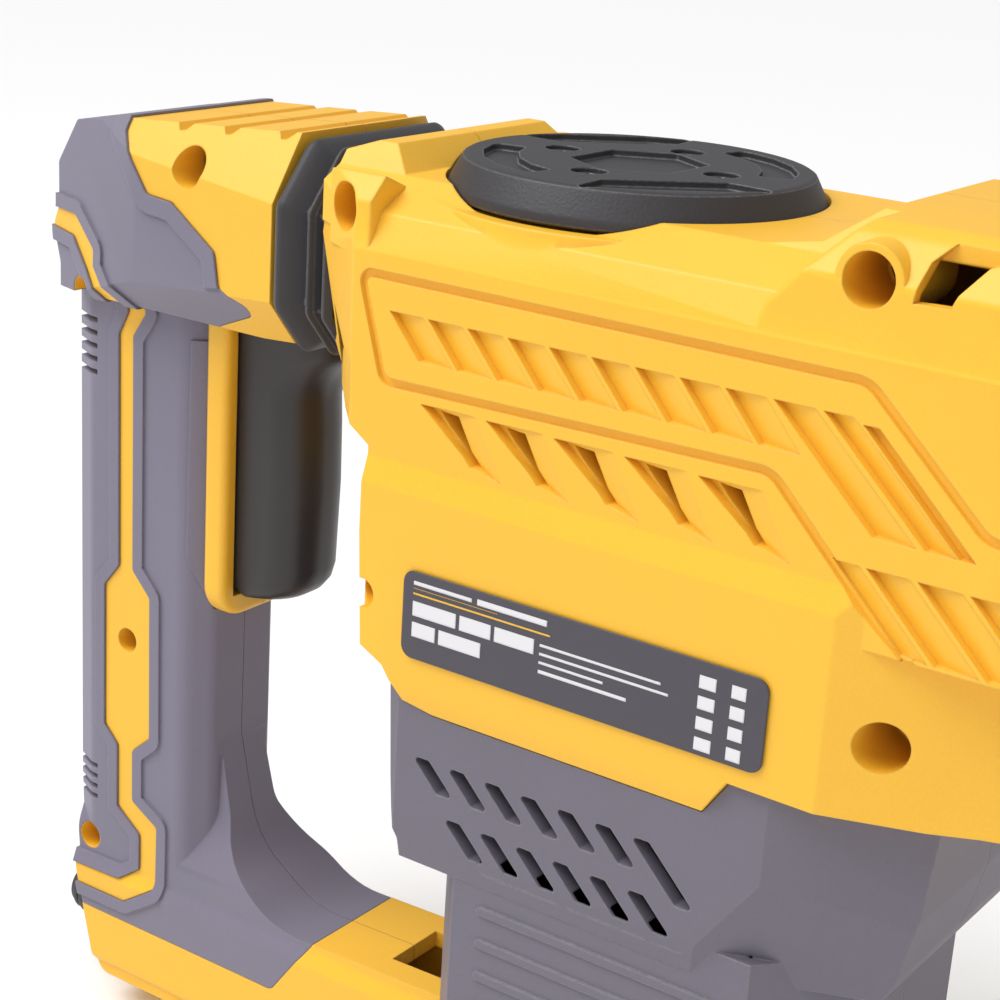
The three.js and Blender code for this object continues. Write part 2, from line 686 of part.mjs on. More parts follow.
function motorCover() {
  const above = prism('y', [
    ...seamLine.map(([x, z]) => [x, z - gap]), [bodyFront, seamHeight + stepHeight - 1], [bodyFront, 200],
    [-90, 200], [-90, seamHeight + 12],
  ], -80, 80);
  const room = coverRoom().add(rod('z', statorRadius + gap, coverBottom - 1, 112, 0, 0, 18));
  const slots = [];
  for (let i = 0; i < slotCount; i++) {
    slots.push(slantedSlot(-51.5 + i * slotPitch, 133, slotWidth, 8, 7.5));
    if (i < slotCount - 1) {
      slots.push(slantedSlot(-41 + i * slotPitch, 120, slotWidth, 8, 7.5));
    }
  }
  const brushHoles = rod('y', bearingRadius - 2, -80, 80, 0, commutatorBase + commutatorLength / 2, 24);
  const lug = block(pivotX - 8, -coverHalfLength + 3, -lugHalfWidth, lugHalfWidth, coverBottom, pivotZ + 9)
    .subtract(rod('y', pivotRadius + gap, -30, 30, pivotX, pivotZ, 20));
  return cutBy(coverShape(), [room, above, ...slots, brushHoles]).add(lug);
}
placeHalves('motor_cover', motorCover(), greyPlastic);

function bottomCover() {
  const top = coverBottom - gap;
  const foot = prism('z', inward(columnPlan, -1), 0, 12);
  const upper = prism('z', columnPlan, 10, top);
  const room = prism('z', inward(columnPlan, coverWall), 4, top + 1);
  const boss = rod('z', bearingRadius + 3, 2, 18, 0, 0, 16)
    .subtract(rod('z', bearingRadius + gap, 6, 20, 0, 0, 16));
  return foot.add(upper).subtract(room).add(boss);
}
place('bottom_cover', bottomCover(), greyPlastic);

// ---------------------------------------------------------------- motor
const shaftBase = 8;
const pinionTop = gearBase + gearThickness;

function armature() {
  const lowerShaft = rod('z', shaftRadius, shaftBase, bearingSeat + bearingHeight + 2, 0, 0, 16);
  const core = rod('z', coreRadius, coreBase, coreBase + coreLength, 0, 0, 16);
  const neck = rod('z', 3.8, bearingSeat + bearingHeight + 1, pinionTop, 0, 0, 16);
  const phase = Math.PI + Math.PI / pinionTeeth;
  const pinion = prism('z', gearOutline(pinionTeeth, 0, phase), gearBase, pinionTop);
  return joined([lowerShaft, core, neck, pinion]);
}
place('armature', armature(), darkSteel);
place('commutator', tube('z', shaftRadius + gap, commutatorRadius, commutatorBase,
  commutatorBase + commutatorLength, 0, 0, 18), copper);

function fan() {
  const hub = tube('z', shaftRadius + gap, shaftRadius + 5, fanBase, fanBase + fanHeight, 0, 0, 18);
  const web = tube('z', shaftRadius + 3, fanRadius, fanBase + fanHeight - 2, fanBase + fanHeight, 0, 0, 16);
  const blades = [];
  for (let i = 0; i < 9; i++) {
    const blade = new THREE.BoxGeometry(fanRadius - 11, 1.6, fanHeight - 1);
    blade.translate((fanRadius - 11) / 2 + shaftRadius + 3.5, 0, fanBase + (fanHeight - 1) / 2);
    blades.push(solidOf(blade.rotateZ(i * 2 * Math.PI / 9)));
  }
  return joined([hub, web, ...blades]);
}
place('cooling_fan', fan(), blackPlastic);
place('stator', tube('z', coreRadius + airGap, statorRadius, coreBase - 2, coreBase + coreLength + 2, 0, 0, 32),
  steel);
place('motor_bearing_lower', tube('z', shaftRadius + gap, bearingRadius, 6.4, 6 + bearingHeight, 0, 0, 16),
  steel);

const brushZ = commutatorBase + commutatorLength / 2;
for (const [side, name] of [[-1, 'right'], [1, 'left']]) {
  const along = (near, far) => (side > 0 ? [near, far] : [-far, -near]);
  const [b0, b1] = along(commutatorRadius + gap, commutatorRadius + 20);
  place(`brush_${name}`, block(-4, 4, b0, b1, brushZ - brushWidth, brushZ + brushWidth), carbon);
  const [h0, h1] = along(commutatorRadius + 4, coverHalfWidth - 8);
  const holder = block(-6.3, 6.3, h0, h1, brushZ - brushWidth - 2.3, brushZ + brushWidth + 2.3)
    .subtract(block(-4.4, 4.4, h0 - 1, h1 + 1, brushZ - brushWidth - 0.4, brushZ + brushWidth + 0.4));
  place(`brush_holder_${name}`, holder, brass);
  const [c0, c1] = along(coverHalfWidth - 7, coverHalfWidth + 0.8);
  const slotAt = side > 0 ? [c1 - 2, c1 + 1] : [c0 - 1, c0 + 2];
  const cap = rod('y', bearingRadius - 2 - gap, c0, c1, 0, brushZ, 24)
    .subtract(block(-9, 9, slotAt[0], slotAt[1], brushZ - 1, brushZ + 1));
  place(`brush_cap_${name}`, cap, blackPlastic);
}

// ---------------------------------------------------------------- rear handle
const handleSide = [
  [armFront, armBottom], [armFront, 266.5], [-133, 265], [-167, 263], [-188, 259], [handleRear, 248],
  [handleRear, 236], [handleRear + 3, 222], [handleRear + 3, 70], [handleRear + 7, 30],
  [-182, handleBottom], [-74, handleBottom], [-62, handleBottom + 6], [-60, 50],
  [-92, lowerArmTop], [-112, lowerArmTop + 3], [-128, lowerArmTop + 12], [gripFront, lowerArmTop + 30],
  [gripFront, armBottom - 14], [-134, armBottom - 2],
];
const armPlan = mirrored([
  [handleRear - 1, 22], [-160, armHalfWidth - 3], [armFront, armHalfWidth],
]);
const armSection = [
  [-armHalfWidth, 226], [-24, armBottom - 1], [24, armBottom - 1], [armHalfWidth, 226],
  [armHalfWidth, 250], [24, 267], [-24, 267], [-armHalfWidth, 250],
];
const gripPlan = mirrored([
  [handleRear, 8], [handleRear + 12, gripHalfWidth], [gripFront - 10, gripHalfWidth], [gripFront, 10],
]);
const lowerArmSection = [
  [-lowerArmHalfWidth, handleBottom + 6], [-lowerArmHalfWidth + 6, handleBottom - 1],
  [lowerArmHalfWidth - 6, handleBottom - 1], [lowerArmHalfWidth, handleBottom + 6],
  [lowerArmHalfWidth, 42], [gripHalfWidth, 46], [gripHalfWidth, lowerArmTop + 40],
  [-gripHalfWidth, lowerArmTop + 40], [-gripHalfWidth, 46], [-lowerArmHalfWidth, 42],
];

function handleShape(inset) {
  const arm = prism('x', inward(armSection, inset), handleRear - 5, armFront + 5)
    .intersect(prism('z', inward(armPlan, inset), 150, 300));
  const grip = prism('z', inward(gripPlan, inset), 0, 240);
  const lower = prism('x', inward(lowerArmSection, inset), handleRear - 5, -40);
  return joined([arm, grip, lower]).intersect(prism('y', inward(handleSide, inset), -50, 50));
}

// The rubber overmould covers the grip; a stepped stripe of the hard shell shows through it.
const stripeX = -175;
const stripeOutline = [
  [stripeX - 3, 80], [stripeX + 3, 80], [stripeX + 3, 92], [stripeX + 9, 98], [stripeX + 9, 134],
  [stripeX + 3, 140], [stripeX + 3, 206], [stripeX + 9, 214], [stripeX + 3, 222], [stripeX - 3, 222],
  [stripeX - 3, 140], [stripeX - 7, 134], [stripeX - 7, 98], [stripeX - 3, 92],
];

function overmouldZone(grow) {
  const reach = prism('y', inward([
    [handleRear - 5, 40], [-96, 40], [-96, 70], [-120, 78], [-146, 96],
    [-146, armBottom - 12], [-150, armBottom + 6], [handleRear - 5, armBottom + 20],
  ], -grow), -50, 50);
  const underTrigger = block(-150, -130, -30, 30, 60, 132 + grow);
  return reach.add(underTrigger).subtract(prism('y', inward(stripeOutline, grow), -50, 50));
}

const triggerSide = [
  [-156, 140], [-141, 140], [-137, 137], [-131, 137], [-125, 141], [-122, 150], [-124, 175], [-121, 190],
  [-115, 200], [armFront - 1, 206], [armFront - 1, 211], [triggerPinX + 5, 218], [triggerPinX + 3, 222],
  [triggerPinX - 5, 222], [-128, 213], [-146, 209], [-156, 206],
];

function gripCover() {
  const skin = overmouldZone(0).intersect(handleShape(0)).subtract(handleShape(overmould));
  const frame = block(-170, -100, -triggerHalfWidth - 1, triggerHalfWidth + 1, 128, 230);
  const glandHole = rod('x', glandRadius + gap, handleRear - 5, -178, 0, 22, 20);
  return cutBy(skin, [frame, glandHole]);
}
placeHalves('grip_cover', gripCover(), gripRubber);

function handleShell() {
  const hollow = handleShape(handleWall + overmould);
  const armMouth = block(armFront - 6, armFront + 2, -16, 16, damperHeight - 15, damperHeight + 15);
  const triggerRoom = prism('y', [
    [-172, 128], [-134, 130], [-116, 136], [-112, 196], [-113, 199], [armFront + 2, 200], [armFront + 2, 222],
    [-170, 222],
  ], -triggerHalfWidth - 0.6, triggerHalfWidth + 0.6);
  const forkRoom = block(pivotX - 12, -50, -lugHalfWidth - 0.6, lugHalfWidth + 0.6, 0, 60);
  const pinHole = rod('y', pivotRadius + gap, -40, 40, pivotX, pivotZ, 20);
  const triggerPinHole = rod('y', 2.6, -40, 40, triggerPinX, triggerPinZ, 16);
  const glandHole = rod('x', glandRadius + gap, handleRear - 5, -178, 0, 22, 20);
  return cutBy(handleShape(0), [
    hollow, overmouldZone(gap).subtract(handleShape(overmould + gap)), armMouth, triggerRoom, forkRoom,
    pinHole, triggerPinHole, glandHole,
  ]);
}
placeHalves('handle_shell', handleShell(), yellowPlastic);

place('trigger', prism('y', triggerSide, -triggerHalfWidth, triggerHalfWidth)
  .subtract(rod('y', 2.6, -40, 40, triggerPinX, triggerPinZ, 16)), blackPlastic);
place('trigger_pin', rod('y', 2.2, -20, 20, triggerPinX, triggerPinZ, 16), steel);
place('trigger_spring', spring('x', 3.6, 0.6, 5, -168, -156.3, 0, 160), steel);
place('switch_unit', block(-184, -168.4, -8, 8, 120, 200), blackPlastic);
place('handle_pivot_pin', rod('y', pivotRadius, -lowerArmHalfWidth - 0.5, lowerArmHalfWidth + 0.5,
  pivotX, pivotZ, 20), steel);

// ---------------------------------------------------------------- vibration damper
const bellowsRear = armFront + gap;
const bellowsFront = collarRear - gap;

function bellows() {
  const outer = (grow) => [
    [-armHalfWidth - grow, 224], [-24, armBottom - grow], [24, armBottom - grow], [armHalfWidth + grow, 224],
    [armHalfWidth + grow, 250], [24, 263 + grow], [-24, 263 + grow], [-armHalfWidth - grow, 250],
  ];
  const folds = (bellowsFront - bellowsRear) / 5;
  const ribs = [0, 2, 4].map((i) => prism('x', outer(2.5), bellowsRear + i * folds,
    bellowsRear + (i + 1) * folds));
  const tubeBody = prism('x', outer(-1), bellowsRear, bellowsFront);
  const room = prism('x', outer(-5), bellowsRear - 1, bellowsFront + 1);
  return joined([tubeBody, ...ribs]).subtract(room);
}
place('bellows', bellows(), blackRubber);

const damperRear = armFront - handleWall - overmould - 0.5;
function damperRod() {
  return turned('x', [
    [damperRear - 12, 0], [damperRear - 12, 9], [damperRear - 9, 9], [damperRear - 9, 4.5],
    [bodyRear - 12, 4.5], [bodyRear - 12, 11], [bodyRear - 9, 11], [bodyRear - 9, 0],
  ], 0, damperHeight, 24);
}
place('damper_rod', damperRod(), steel);
place('damper_spring', spring('x', 11, 1.6, 4, armFront + 1, bodyRear - 12.6, 0, damperHeight), steel);

// ---------------------------------------------------------------- cord gland
function cordGland() {
  const z = 22;
  return turned('x', [
    [handleRear - 14, 4], [handleRear - 14, 6.5], [handleRear - 1, glandRadius], [handleRear - 1, glandRadius + 2],
    [handleRear + 1, glandRadius + 2], [handleRear + 1, glandRadius], [-180, glandRadius], [-180, 4],
    [handleRear - 14, 4],
  ], 0, z, 24);
}
place('cord_gland', cordGland(), blackRubber);

// ---------------------------------------------------------------- side handle
const bandInner = clampSeatRadius + runGap;
const bandOuter = bandInner + bandThickness;
const boltStart = bandOuter + gap;

function sideBand() {
  return tube('x', bandInner, bandOuter, bandX - bandHalfWidth, bandX + bandHalfWidth, 0, hammerAxis,
    barrelSides);
}
place('side_handle_band', sideBand(), steel);

function sideBase() {
  return turned('y', [
    [boltStart, 0], [boltStart, 12], [boltStart + 12, 14], [boltStart + 18, sideGripRadius + 3],
    [boltStart + 22, sideGripRadius + 3], [boltStart + 22, 0],
  ], bandX, hammerAxis, barrelSides).subtract(rod('y', 4.4, boltStart - 1, boltStart + 30, bandX, hammerAxis, barrelSides));
}
place('side_handle_base', sideBase(), blackPlastic);

const gripStart = boltStart + 22 + gap;
const gripEnd = gripStart + sideGripLength;
place('side_handle_bolt', rod('y', 4, boltStart + gap, gripStart + 30, bandX, hammerAxis, barrelSides), steel);

function sideGrip() {
  const r = sideGripRadius;
  return turned('y', [
    [gripStart, 0], [gripStart, r + 4], [gripStart + 3, r + 4], [gripStart + 8, r - 1],
    [gripStart + 40, r + 1], [gripEnd - 40, r - 1], [gripEnd - 12, r], [gripEnd - 6, r + 3],
    [gripEnd - 1, r + 1], [gripEnd, r - 4], [gripEnd, 0],
  ], bandX, hammerAxis, barrelSides).subtract(rod('y', 4 + gap, gripStart - 1, gripStart + 32, bandX, hammerAxis, barrelSides));
}
place('side_handle_grip', sideGrip(), gripRubber);

export default group;
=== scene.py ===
"""Looks of a demolition hammer: moulded shells, grips, seals and metal parts round its frame."""

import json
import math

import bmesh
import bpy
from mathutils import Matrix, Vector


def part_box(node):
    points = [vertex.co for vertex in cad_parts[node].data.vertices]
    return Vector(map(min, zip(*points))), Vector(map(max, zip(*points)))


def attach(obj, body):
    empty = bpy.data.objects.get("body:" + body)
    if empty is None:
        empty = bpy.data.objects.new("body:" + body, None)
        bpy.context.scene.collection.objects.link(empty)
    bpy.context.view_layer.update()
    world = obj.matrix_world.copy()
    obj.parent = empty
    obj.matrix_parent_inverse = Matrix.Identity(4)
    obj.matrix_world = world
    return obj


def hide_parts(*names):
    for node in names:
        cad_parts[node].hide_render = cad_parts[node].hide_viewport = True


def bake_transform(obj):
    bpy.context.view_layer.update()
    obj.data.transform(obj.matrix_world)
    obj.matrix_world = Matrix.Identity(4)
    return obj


bl_info = {
    "name": "Demolition hammer looks",
    "version": (1, 0, 0),
    "blender": (4, 5, 0),
    "location": "View3D > Sidebar > Hammer",
    "description": "Builds the visible shells, grips, seals and metal parts of a demolition hammer",
    "category": "Object",
}

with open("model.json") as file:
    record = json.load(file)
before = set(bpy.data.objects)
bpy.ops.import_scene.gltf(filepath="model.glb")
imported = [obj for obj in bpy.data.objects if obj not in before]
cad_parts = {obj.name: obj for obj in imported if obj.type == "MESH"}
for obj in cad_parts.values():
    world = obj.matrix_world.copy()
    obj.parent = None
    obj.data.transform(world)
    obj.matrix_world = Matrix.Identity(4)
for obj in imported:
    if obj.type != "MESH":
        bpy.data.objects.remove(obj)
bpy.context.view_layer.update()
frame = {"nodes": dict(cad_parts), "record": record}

MM = 0.001
STRAIGHT = math.radians(178)
AXES = {"x": Vector((1, 0, 0)), "y": Vector((0, 1, 0)), "z": Vector((0, 0, 1))}
SIDES = (("right", 1), ("left", -1))


# ------------------------------------------------------------ sizes that the frame fixes (mm)
def span(node):
    """Lowest and highest corner of a frame node, in millimetres."""
    low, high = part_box(node)
    return low / MM, high / MM


def middle(node):
    low, high = span(node)
    return (low + high) / 2


HAMMER_Z = middle("nose_barrel").z
CAP = middle("crankcase_cap")
CAP_TOP = span("crankcase_cap")[1].z
CAP_RADIUS = (span("crankcase_cap")[1].x - span("crankcase_cap")[0].x) / 2
SCREW_HEADS = [middle(f"cap_screw_{i}") for i in (1, 2, 3, 4)]
SHROUD_FRONT = span("gear_housing")[1].x
COVER_BOTTOM = span("motor_cover_right")[0].z
SPLIT = -span("housing_right")[1].y
PIVOT = middle("handle_pivot_pin")
BRUSH = middle("brush_cap_right")
GRIP_REAR = span("handle_shell_right")[0].x


# ------------------------------------------------------------ outlines (mm)
def rounded(corners, steps=6):
    """An outline whose corners (u, v, radius) are turned into arcs. Radius may be left out."""
    points = []
    count = len(corners)
    for i, corner in enumerate(corners):
        here = Vector(corner[:2])
        radius = corner[2] if len(corner) > 2 else 0
        back = (Vector(corners[i - 1][:2]) - here).normalized()
        ahead = (Vector(corners[(i + 1) % count][:2]) - here).normalized()
        if not radius or back.angle(ahead) > STRAIGHT:
            points.append(tuple(here))
            continue
        half = back.angle(ahead) / 2
        reach = radius / math.tan(half)
        centre = here + (back + ahead).normalized() * radius / math.sin(half)
        first, last = here + back * reach - centre, here + ahead * reach - centre
        turn = first.angle_signed(last)
        for step in range(steps + 1):
            angle = -turn * step / steps
            points.append(tuple(centre + Matrix.Rotation(angle, 2) @ first))
    return points


def inward(outline, distance):
    """The outline moved inwards by a distance, corner by corner."""
    points = [Vector(point[:2]) for point in outline]
    area = sum(a.cross(b) for a, b in zip(points, points[1:] + points[:1]))
    side = distance if area > 0 else -distance
    moved = []
    for i, here in enumerate(points):
        first = (here - points[i - 1]).normalized()
        second = (points[(i + 1) % len(points)] - here).normalized()
        scale = side / (1 + first.dot(second))
        moved.append((here.x - scale * (first.y + second.y), here.y + scale * (first.x + second.x)))
    return moved


def mirrored(half):
    """A plan given by its half on the +Y side, as (x, y)."""
    return list(half) + [(x, -y) for x, y in reversed(half)]


# ------------------------------------------------------------ solids
def add_object(name, data):
    """A new object of the scene."""
    item = bpy.data.objects.new(name, data)
    bpy.context.scene.collection.objects.link(item)
    return item


def add_mesh(name, mesh):
    """An object made of a bmesh, which is used up."""
    data = bpy.data.meshes.new(name)
    mesh.to_mesh(data)
    mesh.free()
    return add_object(name, data)


def solid(name, mesh):
    """An object made of a bmesh, with its faces pointing out."""
    bmesh.ops.recalc_face_normals(mesh, faces=mesh.faces)
    return add_mesh(name, mesh)


def prism(axis, outline, low, high, name="tool"):
    """An outline pushed along an axis: (y, z) along x, (x, z) along y, (x, y) along z."""
    lift = {"x": lambda a, b: (low, a, b), "y": lambda a, b: (a, low, b), "z": lambda a, b: (a, b, low)}
    mesh = bmesh.new()
    corners = [mesh.verts.new(Vector(lift[axis](*point[:2])) * MM) for point in outline]
    face = mesh.faces.new(corners)
    grown = bmesh.ops.extrude_face_region(mesh, geom=[face], use_keep_orig=True)["geom"]
    far = [item for item in grown if isinstance(item, bmesh.types.BMVert)]
    bmesh.ops.translate(mesh, verts=far, vec=AXES[axis] * (high - low) * MM)
    return solid(name, mesh)


def block(x0, x1, y0, y1, z0, z1, name="tool"):
    return prism("z", [(x0, y0), (x1, y0), (x1, y1), (x0, y1)], z0, z1, name)


def turned(axis, profile, centre, sides=96, name="tool"):
    """A profile of (along, radius) spun about an axis through a centre point."""
    along = AXES[axis]
    across = AXES["z"] if axis != "z" else AXES["x"]
    centre = Vector(centre)
    centre -= along * centre.dot(along)
    mesh = bmesh.new()
    verts = [mesh.verts.new((centre + along * a + across * r) * MM) for a, r in profile]
    for first, second in zip(verts, verts[1:] + verts[:1]):
        if (first.co - second.co).length > 1e-9:
            mesh.edges.new((first, second))
    bmesh.ops.spin(mesh, geom=mesh.verts[:] + mesh.edges[:], cent=centre * MM, axis=along,
                   angle=math.tau, steps=sides, use_merge=True)
    bmesh.ops.remove_doubles(mesh, verts=mesh.verts, dist=1e-6)
    bmesh.ops.dissolve_degenerate(mesh, edges=mesh.edges, dist=1e-7)
    return solid(name, mesh)


def rod(axis, radius, low, high, centre, sides=48, name="tool"):
    return turned(axis, [(low, 0), (low, radius), (high, radius), (high, 0)], centre, sides, name)


def bake(piece):
    """Makes a piece's modifiers part of its mesh."""
    bpy.context.view_layer.update()
    graph = bpy.context.evaluated_depsgraph_get()
    made = bpy.data.meshes.new_from_object(piece.evaluated_get(graph))
    old = piece.data
    piece.modifiers.clear()
    piece.data = made
    bpy.data.meshes.remove(old)
    return piece


def combine(piece, operation, tools):
    """Joins, cuts or meets a piece with tools, which are used up."""
    for tool in tools:
        step = piece.modifiers.new(operation, "BOOLEAN")
        step.operation = operation
        step.solver = "MANIFOLD"
        step.object = tool
    bake(piece)
    for tool in tools:
        data = tool.data
        bpy.data.objects.remove(tool)
        bpy.data.meshes.remove(data)
    if not piece.data.polygons:
        raise RuntimeError(f"{piece.name} came out empty after {operation}")
    return piece


def join(piece, *tools):
    return combine(piece, "UNION", tools)


def cut(piece, *tools):
    return combine(piece, "DIFFERENCE", tools)


def meet(piece, *tools):
    return combine(piece, "INTERSECT", tools)


def soften(piece, width, segments=3, angle=22, where=None):
    """Rounds the edges sharper than an angle. where picks edges by their middle point, in mm."""
    mesh = bmesh.new()
    mesh.from_mesh(piece.data)
    bmesh.ops.remove_doubles(mesh, verts=mesh.verts, dist=2e-5)
    bmesh.ops.dissolve_limit(mesh, angle_limit=math.radians(0.5), verts=mesh.verts, edges=mesh.edges)
    picked = []
    for edge in mesh.edges:
        if len(edge.link_faces) == 2 and math.degrees(edge.calc_face_angle(0)) > angle:
            point = (edge.verts[0].co + edge.verts[1].co) / 2 / MM
            if where is None or where(point):
                picked.append(edge)
    bmesh.ops.bevel(mesh, geom=picked, offset=width * MM, segments=segments, profile=0.5,
                    affect="EDGES", clamp_overlap=True, material=-1)
    bmesh.ops.remove_doubles(mesh, verts=mesh.verts, dist=1e-6)
    mesh.to_mesh(piece.data)
    mesh.free()
    return piece


def mirror_copy(piece, name):
    """The same piece on the other side of the y = 0 plane."""
    mesh = bmesh.new()
    mesh.from_mesh(piece.data)
    bmesh.ops.scale(mesh, vec=(1, -1, 1), verts=mesh.verts)
    bmesh.ops.reverse_faces(mesh, faces=mesh.faces)
    return add_mesh(name, mesh)


def left_twin(piece):
    """The piece's mirror image, which takes its place."""
    twin = mirror_copy(piece, piece.name)
    bpy.data.objects.remove(piece)
    return twin


def right_side():
    """Everything on the right of the joint plane."""
    return block(-400, 400, -200, -SPLIT, -50, 400)


def ramp_pocket(corners, depths, surface):
    """A tool for a pocket in the right side whose floor slopes: one depth for each corner."""
    tool = prism("y", corners, surface - 3, surface)
    for vertex in tool.data.vertices:
        if abs(vertex.co.y / MM - surface) < 0.01:
            place = Vector((vertex.co.x, vertex.co.z)) / MM
            nearest = min(range(len(corners)), key=lambda i: (place - Vector(corners[i][:2])).length)
            vertex.co.y += depths[nearest] * MM
    return tool


def groove_tool(outline, width, depth, surface):
    """A tool for a groove with sloping walls that follows a closed outline on the right side."""
    ring = prism("y", inward(outline, -width / 2), surface - 2, surface + depth)
    core = prism("y", inward(outline, width / 2), surface - 3, surface + depth + 1)
    return cut(ring, core)


def shade(piece, material, angle):
    """Smooth shading up to an angle, and one material all over."""
    data = piece.data
    data.shade_smooth()
    data.set_sharp_from_angle(angle=math.radians(angle))
    data.materials.clear()
    data.materials.append(material)
    for face in data.polygons:
        face.material_index = 0


def put(piece, body, material, slot, *nodes, angle=30):
    """Finishes a piece: smooth shading, its material and its body, and hides the frame nodes it stands for.
    The slot is not used.
    """
    shade(piece, material, angle)
    weigh = piece.modifiers.new("Even shading", "WEIGHTED_NORMAL")
    weigh.keep_sharp = True
    weigh.weight = 60
    bake(piece)
    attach(piece, body)
    if nodes:
        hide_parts(*nodes)


def put_pair(right, name, body, materials, slot, node):
    """Finishes a right-hand piece and its twin on the left; their nodes' names end in the side."""
    right.name = f"{name}_right"
    twins = {"right": right, "left": mirror_copy(right, f"{name}_left")}
    for side, piece in twins.items():
        put(piece, body, materials[slot], slot, f"{node}_{side}")


# ------------------------------------------------------------ materials
def feed(tree, value, target):
    """Sets a socket to a constant, or links it to another node's output."""
    if isinstance(value, (int, float, tuple)):
        target.default_value = value
    else:
        tree.links.new(value, target)


def surface_group(name, inputs):
    """An empty node group with the given inputs, and a colour, a roughness and a normal to give back."""
    group = bpy.data.node_groups.new(name, "ShaderNodeTree")
    for key, default in inputs.items():
        kind = "NodeSocketColor" if isinstance(default, tuple) else "NodeSocketFloat"
        made = group.interface.new_socket(name=key, in_out="INPUT", socket_type=kind)
        made.default_value = default
    for key, kind in (("Color", "Color"), ("Roughness", "Float"), ("Normal", "Vector")):
        group.interface.new_socket(name=key, in_out="OUTPUT", socket_type=f"NodeSocket{kind}")
    given = group.nodes.new("NodeGroupInput").outputs
    result = group.nodes.new("NodeGroupOutput").inputs
    where = group.nodes.new("ShaderNodeTexCoord").outputs["Object"]
    return group, given, result, where


def soft_edges(group, radius):
    """A normal that rounds sharp edges by a radius in metres."""
    rim = group.nodes.new("ShaderNodeBevel")
    rim.samples = 4
    feed(group, radius, rim.inputs["Radius"])
    return rim.outputs["Normal"]


def bumped(group, height, strength, distance, normal):
    """A normal with small bumps, whose height is a distance in metres."""
    bump = group.nodes.new("ShaderNodeBump")
    values = {"Distance": distance, "Strength": strength, "Height": height, "Normal": normal}
    for key, value in values.items():
        feed(group, value, bump.inputs[key])
    return bump.outputs["Normal"]


def brightened(group, colour, value):
    """A colour made lighter or darker by a factor."""
    shade_node = group.nodes.new("ShaderNodeHueSaturation")
    feed(group, colour, shade_node.inputs["Color"])
    feed(group, value, shade_node.inputs["Value"])
    return shade_node.outputs["Color"]


def math_node(tree, operation, first, second, clamp=False):
    node = tree.nodes.new("ShaderNodeMath")
    node.operation = operation
    node.use_clamp = clamp
    for place, value in enumerate((first, second)):
        feed(tree, value, node.inputs[place])
    return node.outputs[0]


def noise(tree, where, scale, detail=2.0, roughness=0.5):
    node = tree.nodes.new("ShaderNodeTexNoise")
    node.inputs["Detail"].default_value = detail
    node.inputs["Roughness"].default_value = roughness
    feed(tree, where, node.inputs["Vector"])
    feed(tree, scale, node.inputs["Scale"])
    return node.outputs["Fac"]


MIX_MASK, MIX_FIRST, MIX_SECOND, MIX_RESULT = 0, 6, 7, 2  # the colour sockets of the mix node


def mix_colour(tree, mask, first, second):
    node = tree.nodes.new("ShaderNodeMix")
    node.data_type = "RGBA"
    for place, value in ((MIX_MASK, mask), (MIX_FIRST, first), (MIX_SECOND, second)):
        feed(tree, value, node.inputs[place])
    return node.outputs[MIX_RESULT]


def moulded_surface():
    """Fine moulding grain, faint cloudy colour, soft edges and a pale mask along them that is partly wear
    and partly a painted highlight.
    """
    group, given, result, where = surface_group("moulded_surface", {
        "Color": (0.8, 0.8, 0.8, 1), "Roughness": 0.5, "Grain Scale": 2200, "Grain Strength": 0.2,
        "Mottle": 0.04, "Edge Wear": 0.2})
    cloud = noise(group, where, 22, 4.0, 0.6)
    grain = noise(group, where, given["Grain Scale"], 2.0)
    speck = noise(group, where, 900, 1.0)
    shift = math_node(group, "SUBTRACT", cloud, 0.5)
    fine = math_node(group, "MULTIPLY", math_node(group, "SUBTRACT", grain, 0.5), 0.8)
    tone = math_node(group, "MULTIPLY", math_node(group, "ADD", shift, fine), given["Mottle"])
    cloudy = brightened(group, given["Color"], math_node(group, "ADD", tone, 1.0))
    rounded_normal = soft_edges(group, 0.0006)
    facing = group.nodes.new("ShaderNodeVectorMath")
    facing.operation = "DOT_PRODUCT"
    feed(group, rounded_normal, facing.inputs[0])
    feed(group, group.nodes.new("ShaderNodeNewGeometry").outputs["Normal"], facing.inputs[1])
    away = math_node(group, "SUBTRACT", 1.0, facing.outputs["Value"])
    edge = math_node(group, "MULTIPLY", away, 9.0, True)
    patchy = math_node(group, "MULTIPLY", edge, math_node(group, "MULTIPLY", speck, 1.6, True))
    wear_and_highlight_mask = math_node(group, "MULTIPLY", patchy, given["Edge Wear"])
    # edges are mixed towards pale cream: partly rubbed plastic, partly a painted highlight along each edge
    feed(group, mix_colour(group, wear_and_highlight_mask, cloudy, (0.9, 0.86, 0.8, 1)), result["Color"])
    rough = math_node(group, "ADD", given["Roughness"], math_node(group, "MULTIPLY", shift, 0.16))
    rubbed = math_node(group, "SUBTRACT", rough, math_node(group, "MULTIPLY", wear_and_highlight_mask, 0.2))
    feed(group, rubbed, result["Roughness"])
    feed(group, bumped(group, grain, given["Grain Strength"], 0.0002, rounded_normal), result["Normal"])


def worked_metal():
    """Turning marks, cloudy tone and small pits of a worked metal part."""
    group, given, result, where = surface_group("worked_metal", {
        "Color": (0.6, 0.6, 0.6, 1), "Roughness": 0.35, "Marks": 0.2})
    stretch = group.nodes.new("ShaderNodeMapping")
    stretch.inputs["Scale"].default_value = (1.0, 0.06, 0.06)
    feed(group, where, stretch.inputs["Vector"])
    marks = noise(group, stretch.outputs["Vector"], 3200, 2.0)
    cloud = noise(group, where, 60, 3.0)
    tone = math_node(group, "ADD", math_node(group, "MULTIPLY", cloud, 0.5), 0.72)
    feed(group, brightened(group, given["Color"], tone), result["Color"])
    rough = math_node(group, "ADD", given["Roughness"], math_node(group, "MULTIPLY", marks, 0.12))
    feed(group, rough, result["Roughness"])
    normal = bumped(group, marks, given["Marks"], 0.0001, soft_edges(group, 0.0004))
    feed(group, normal, result["Normal"])


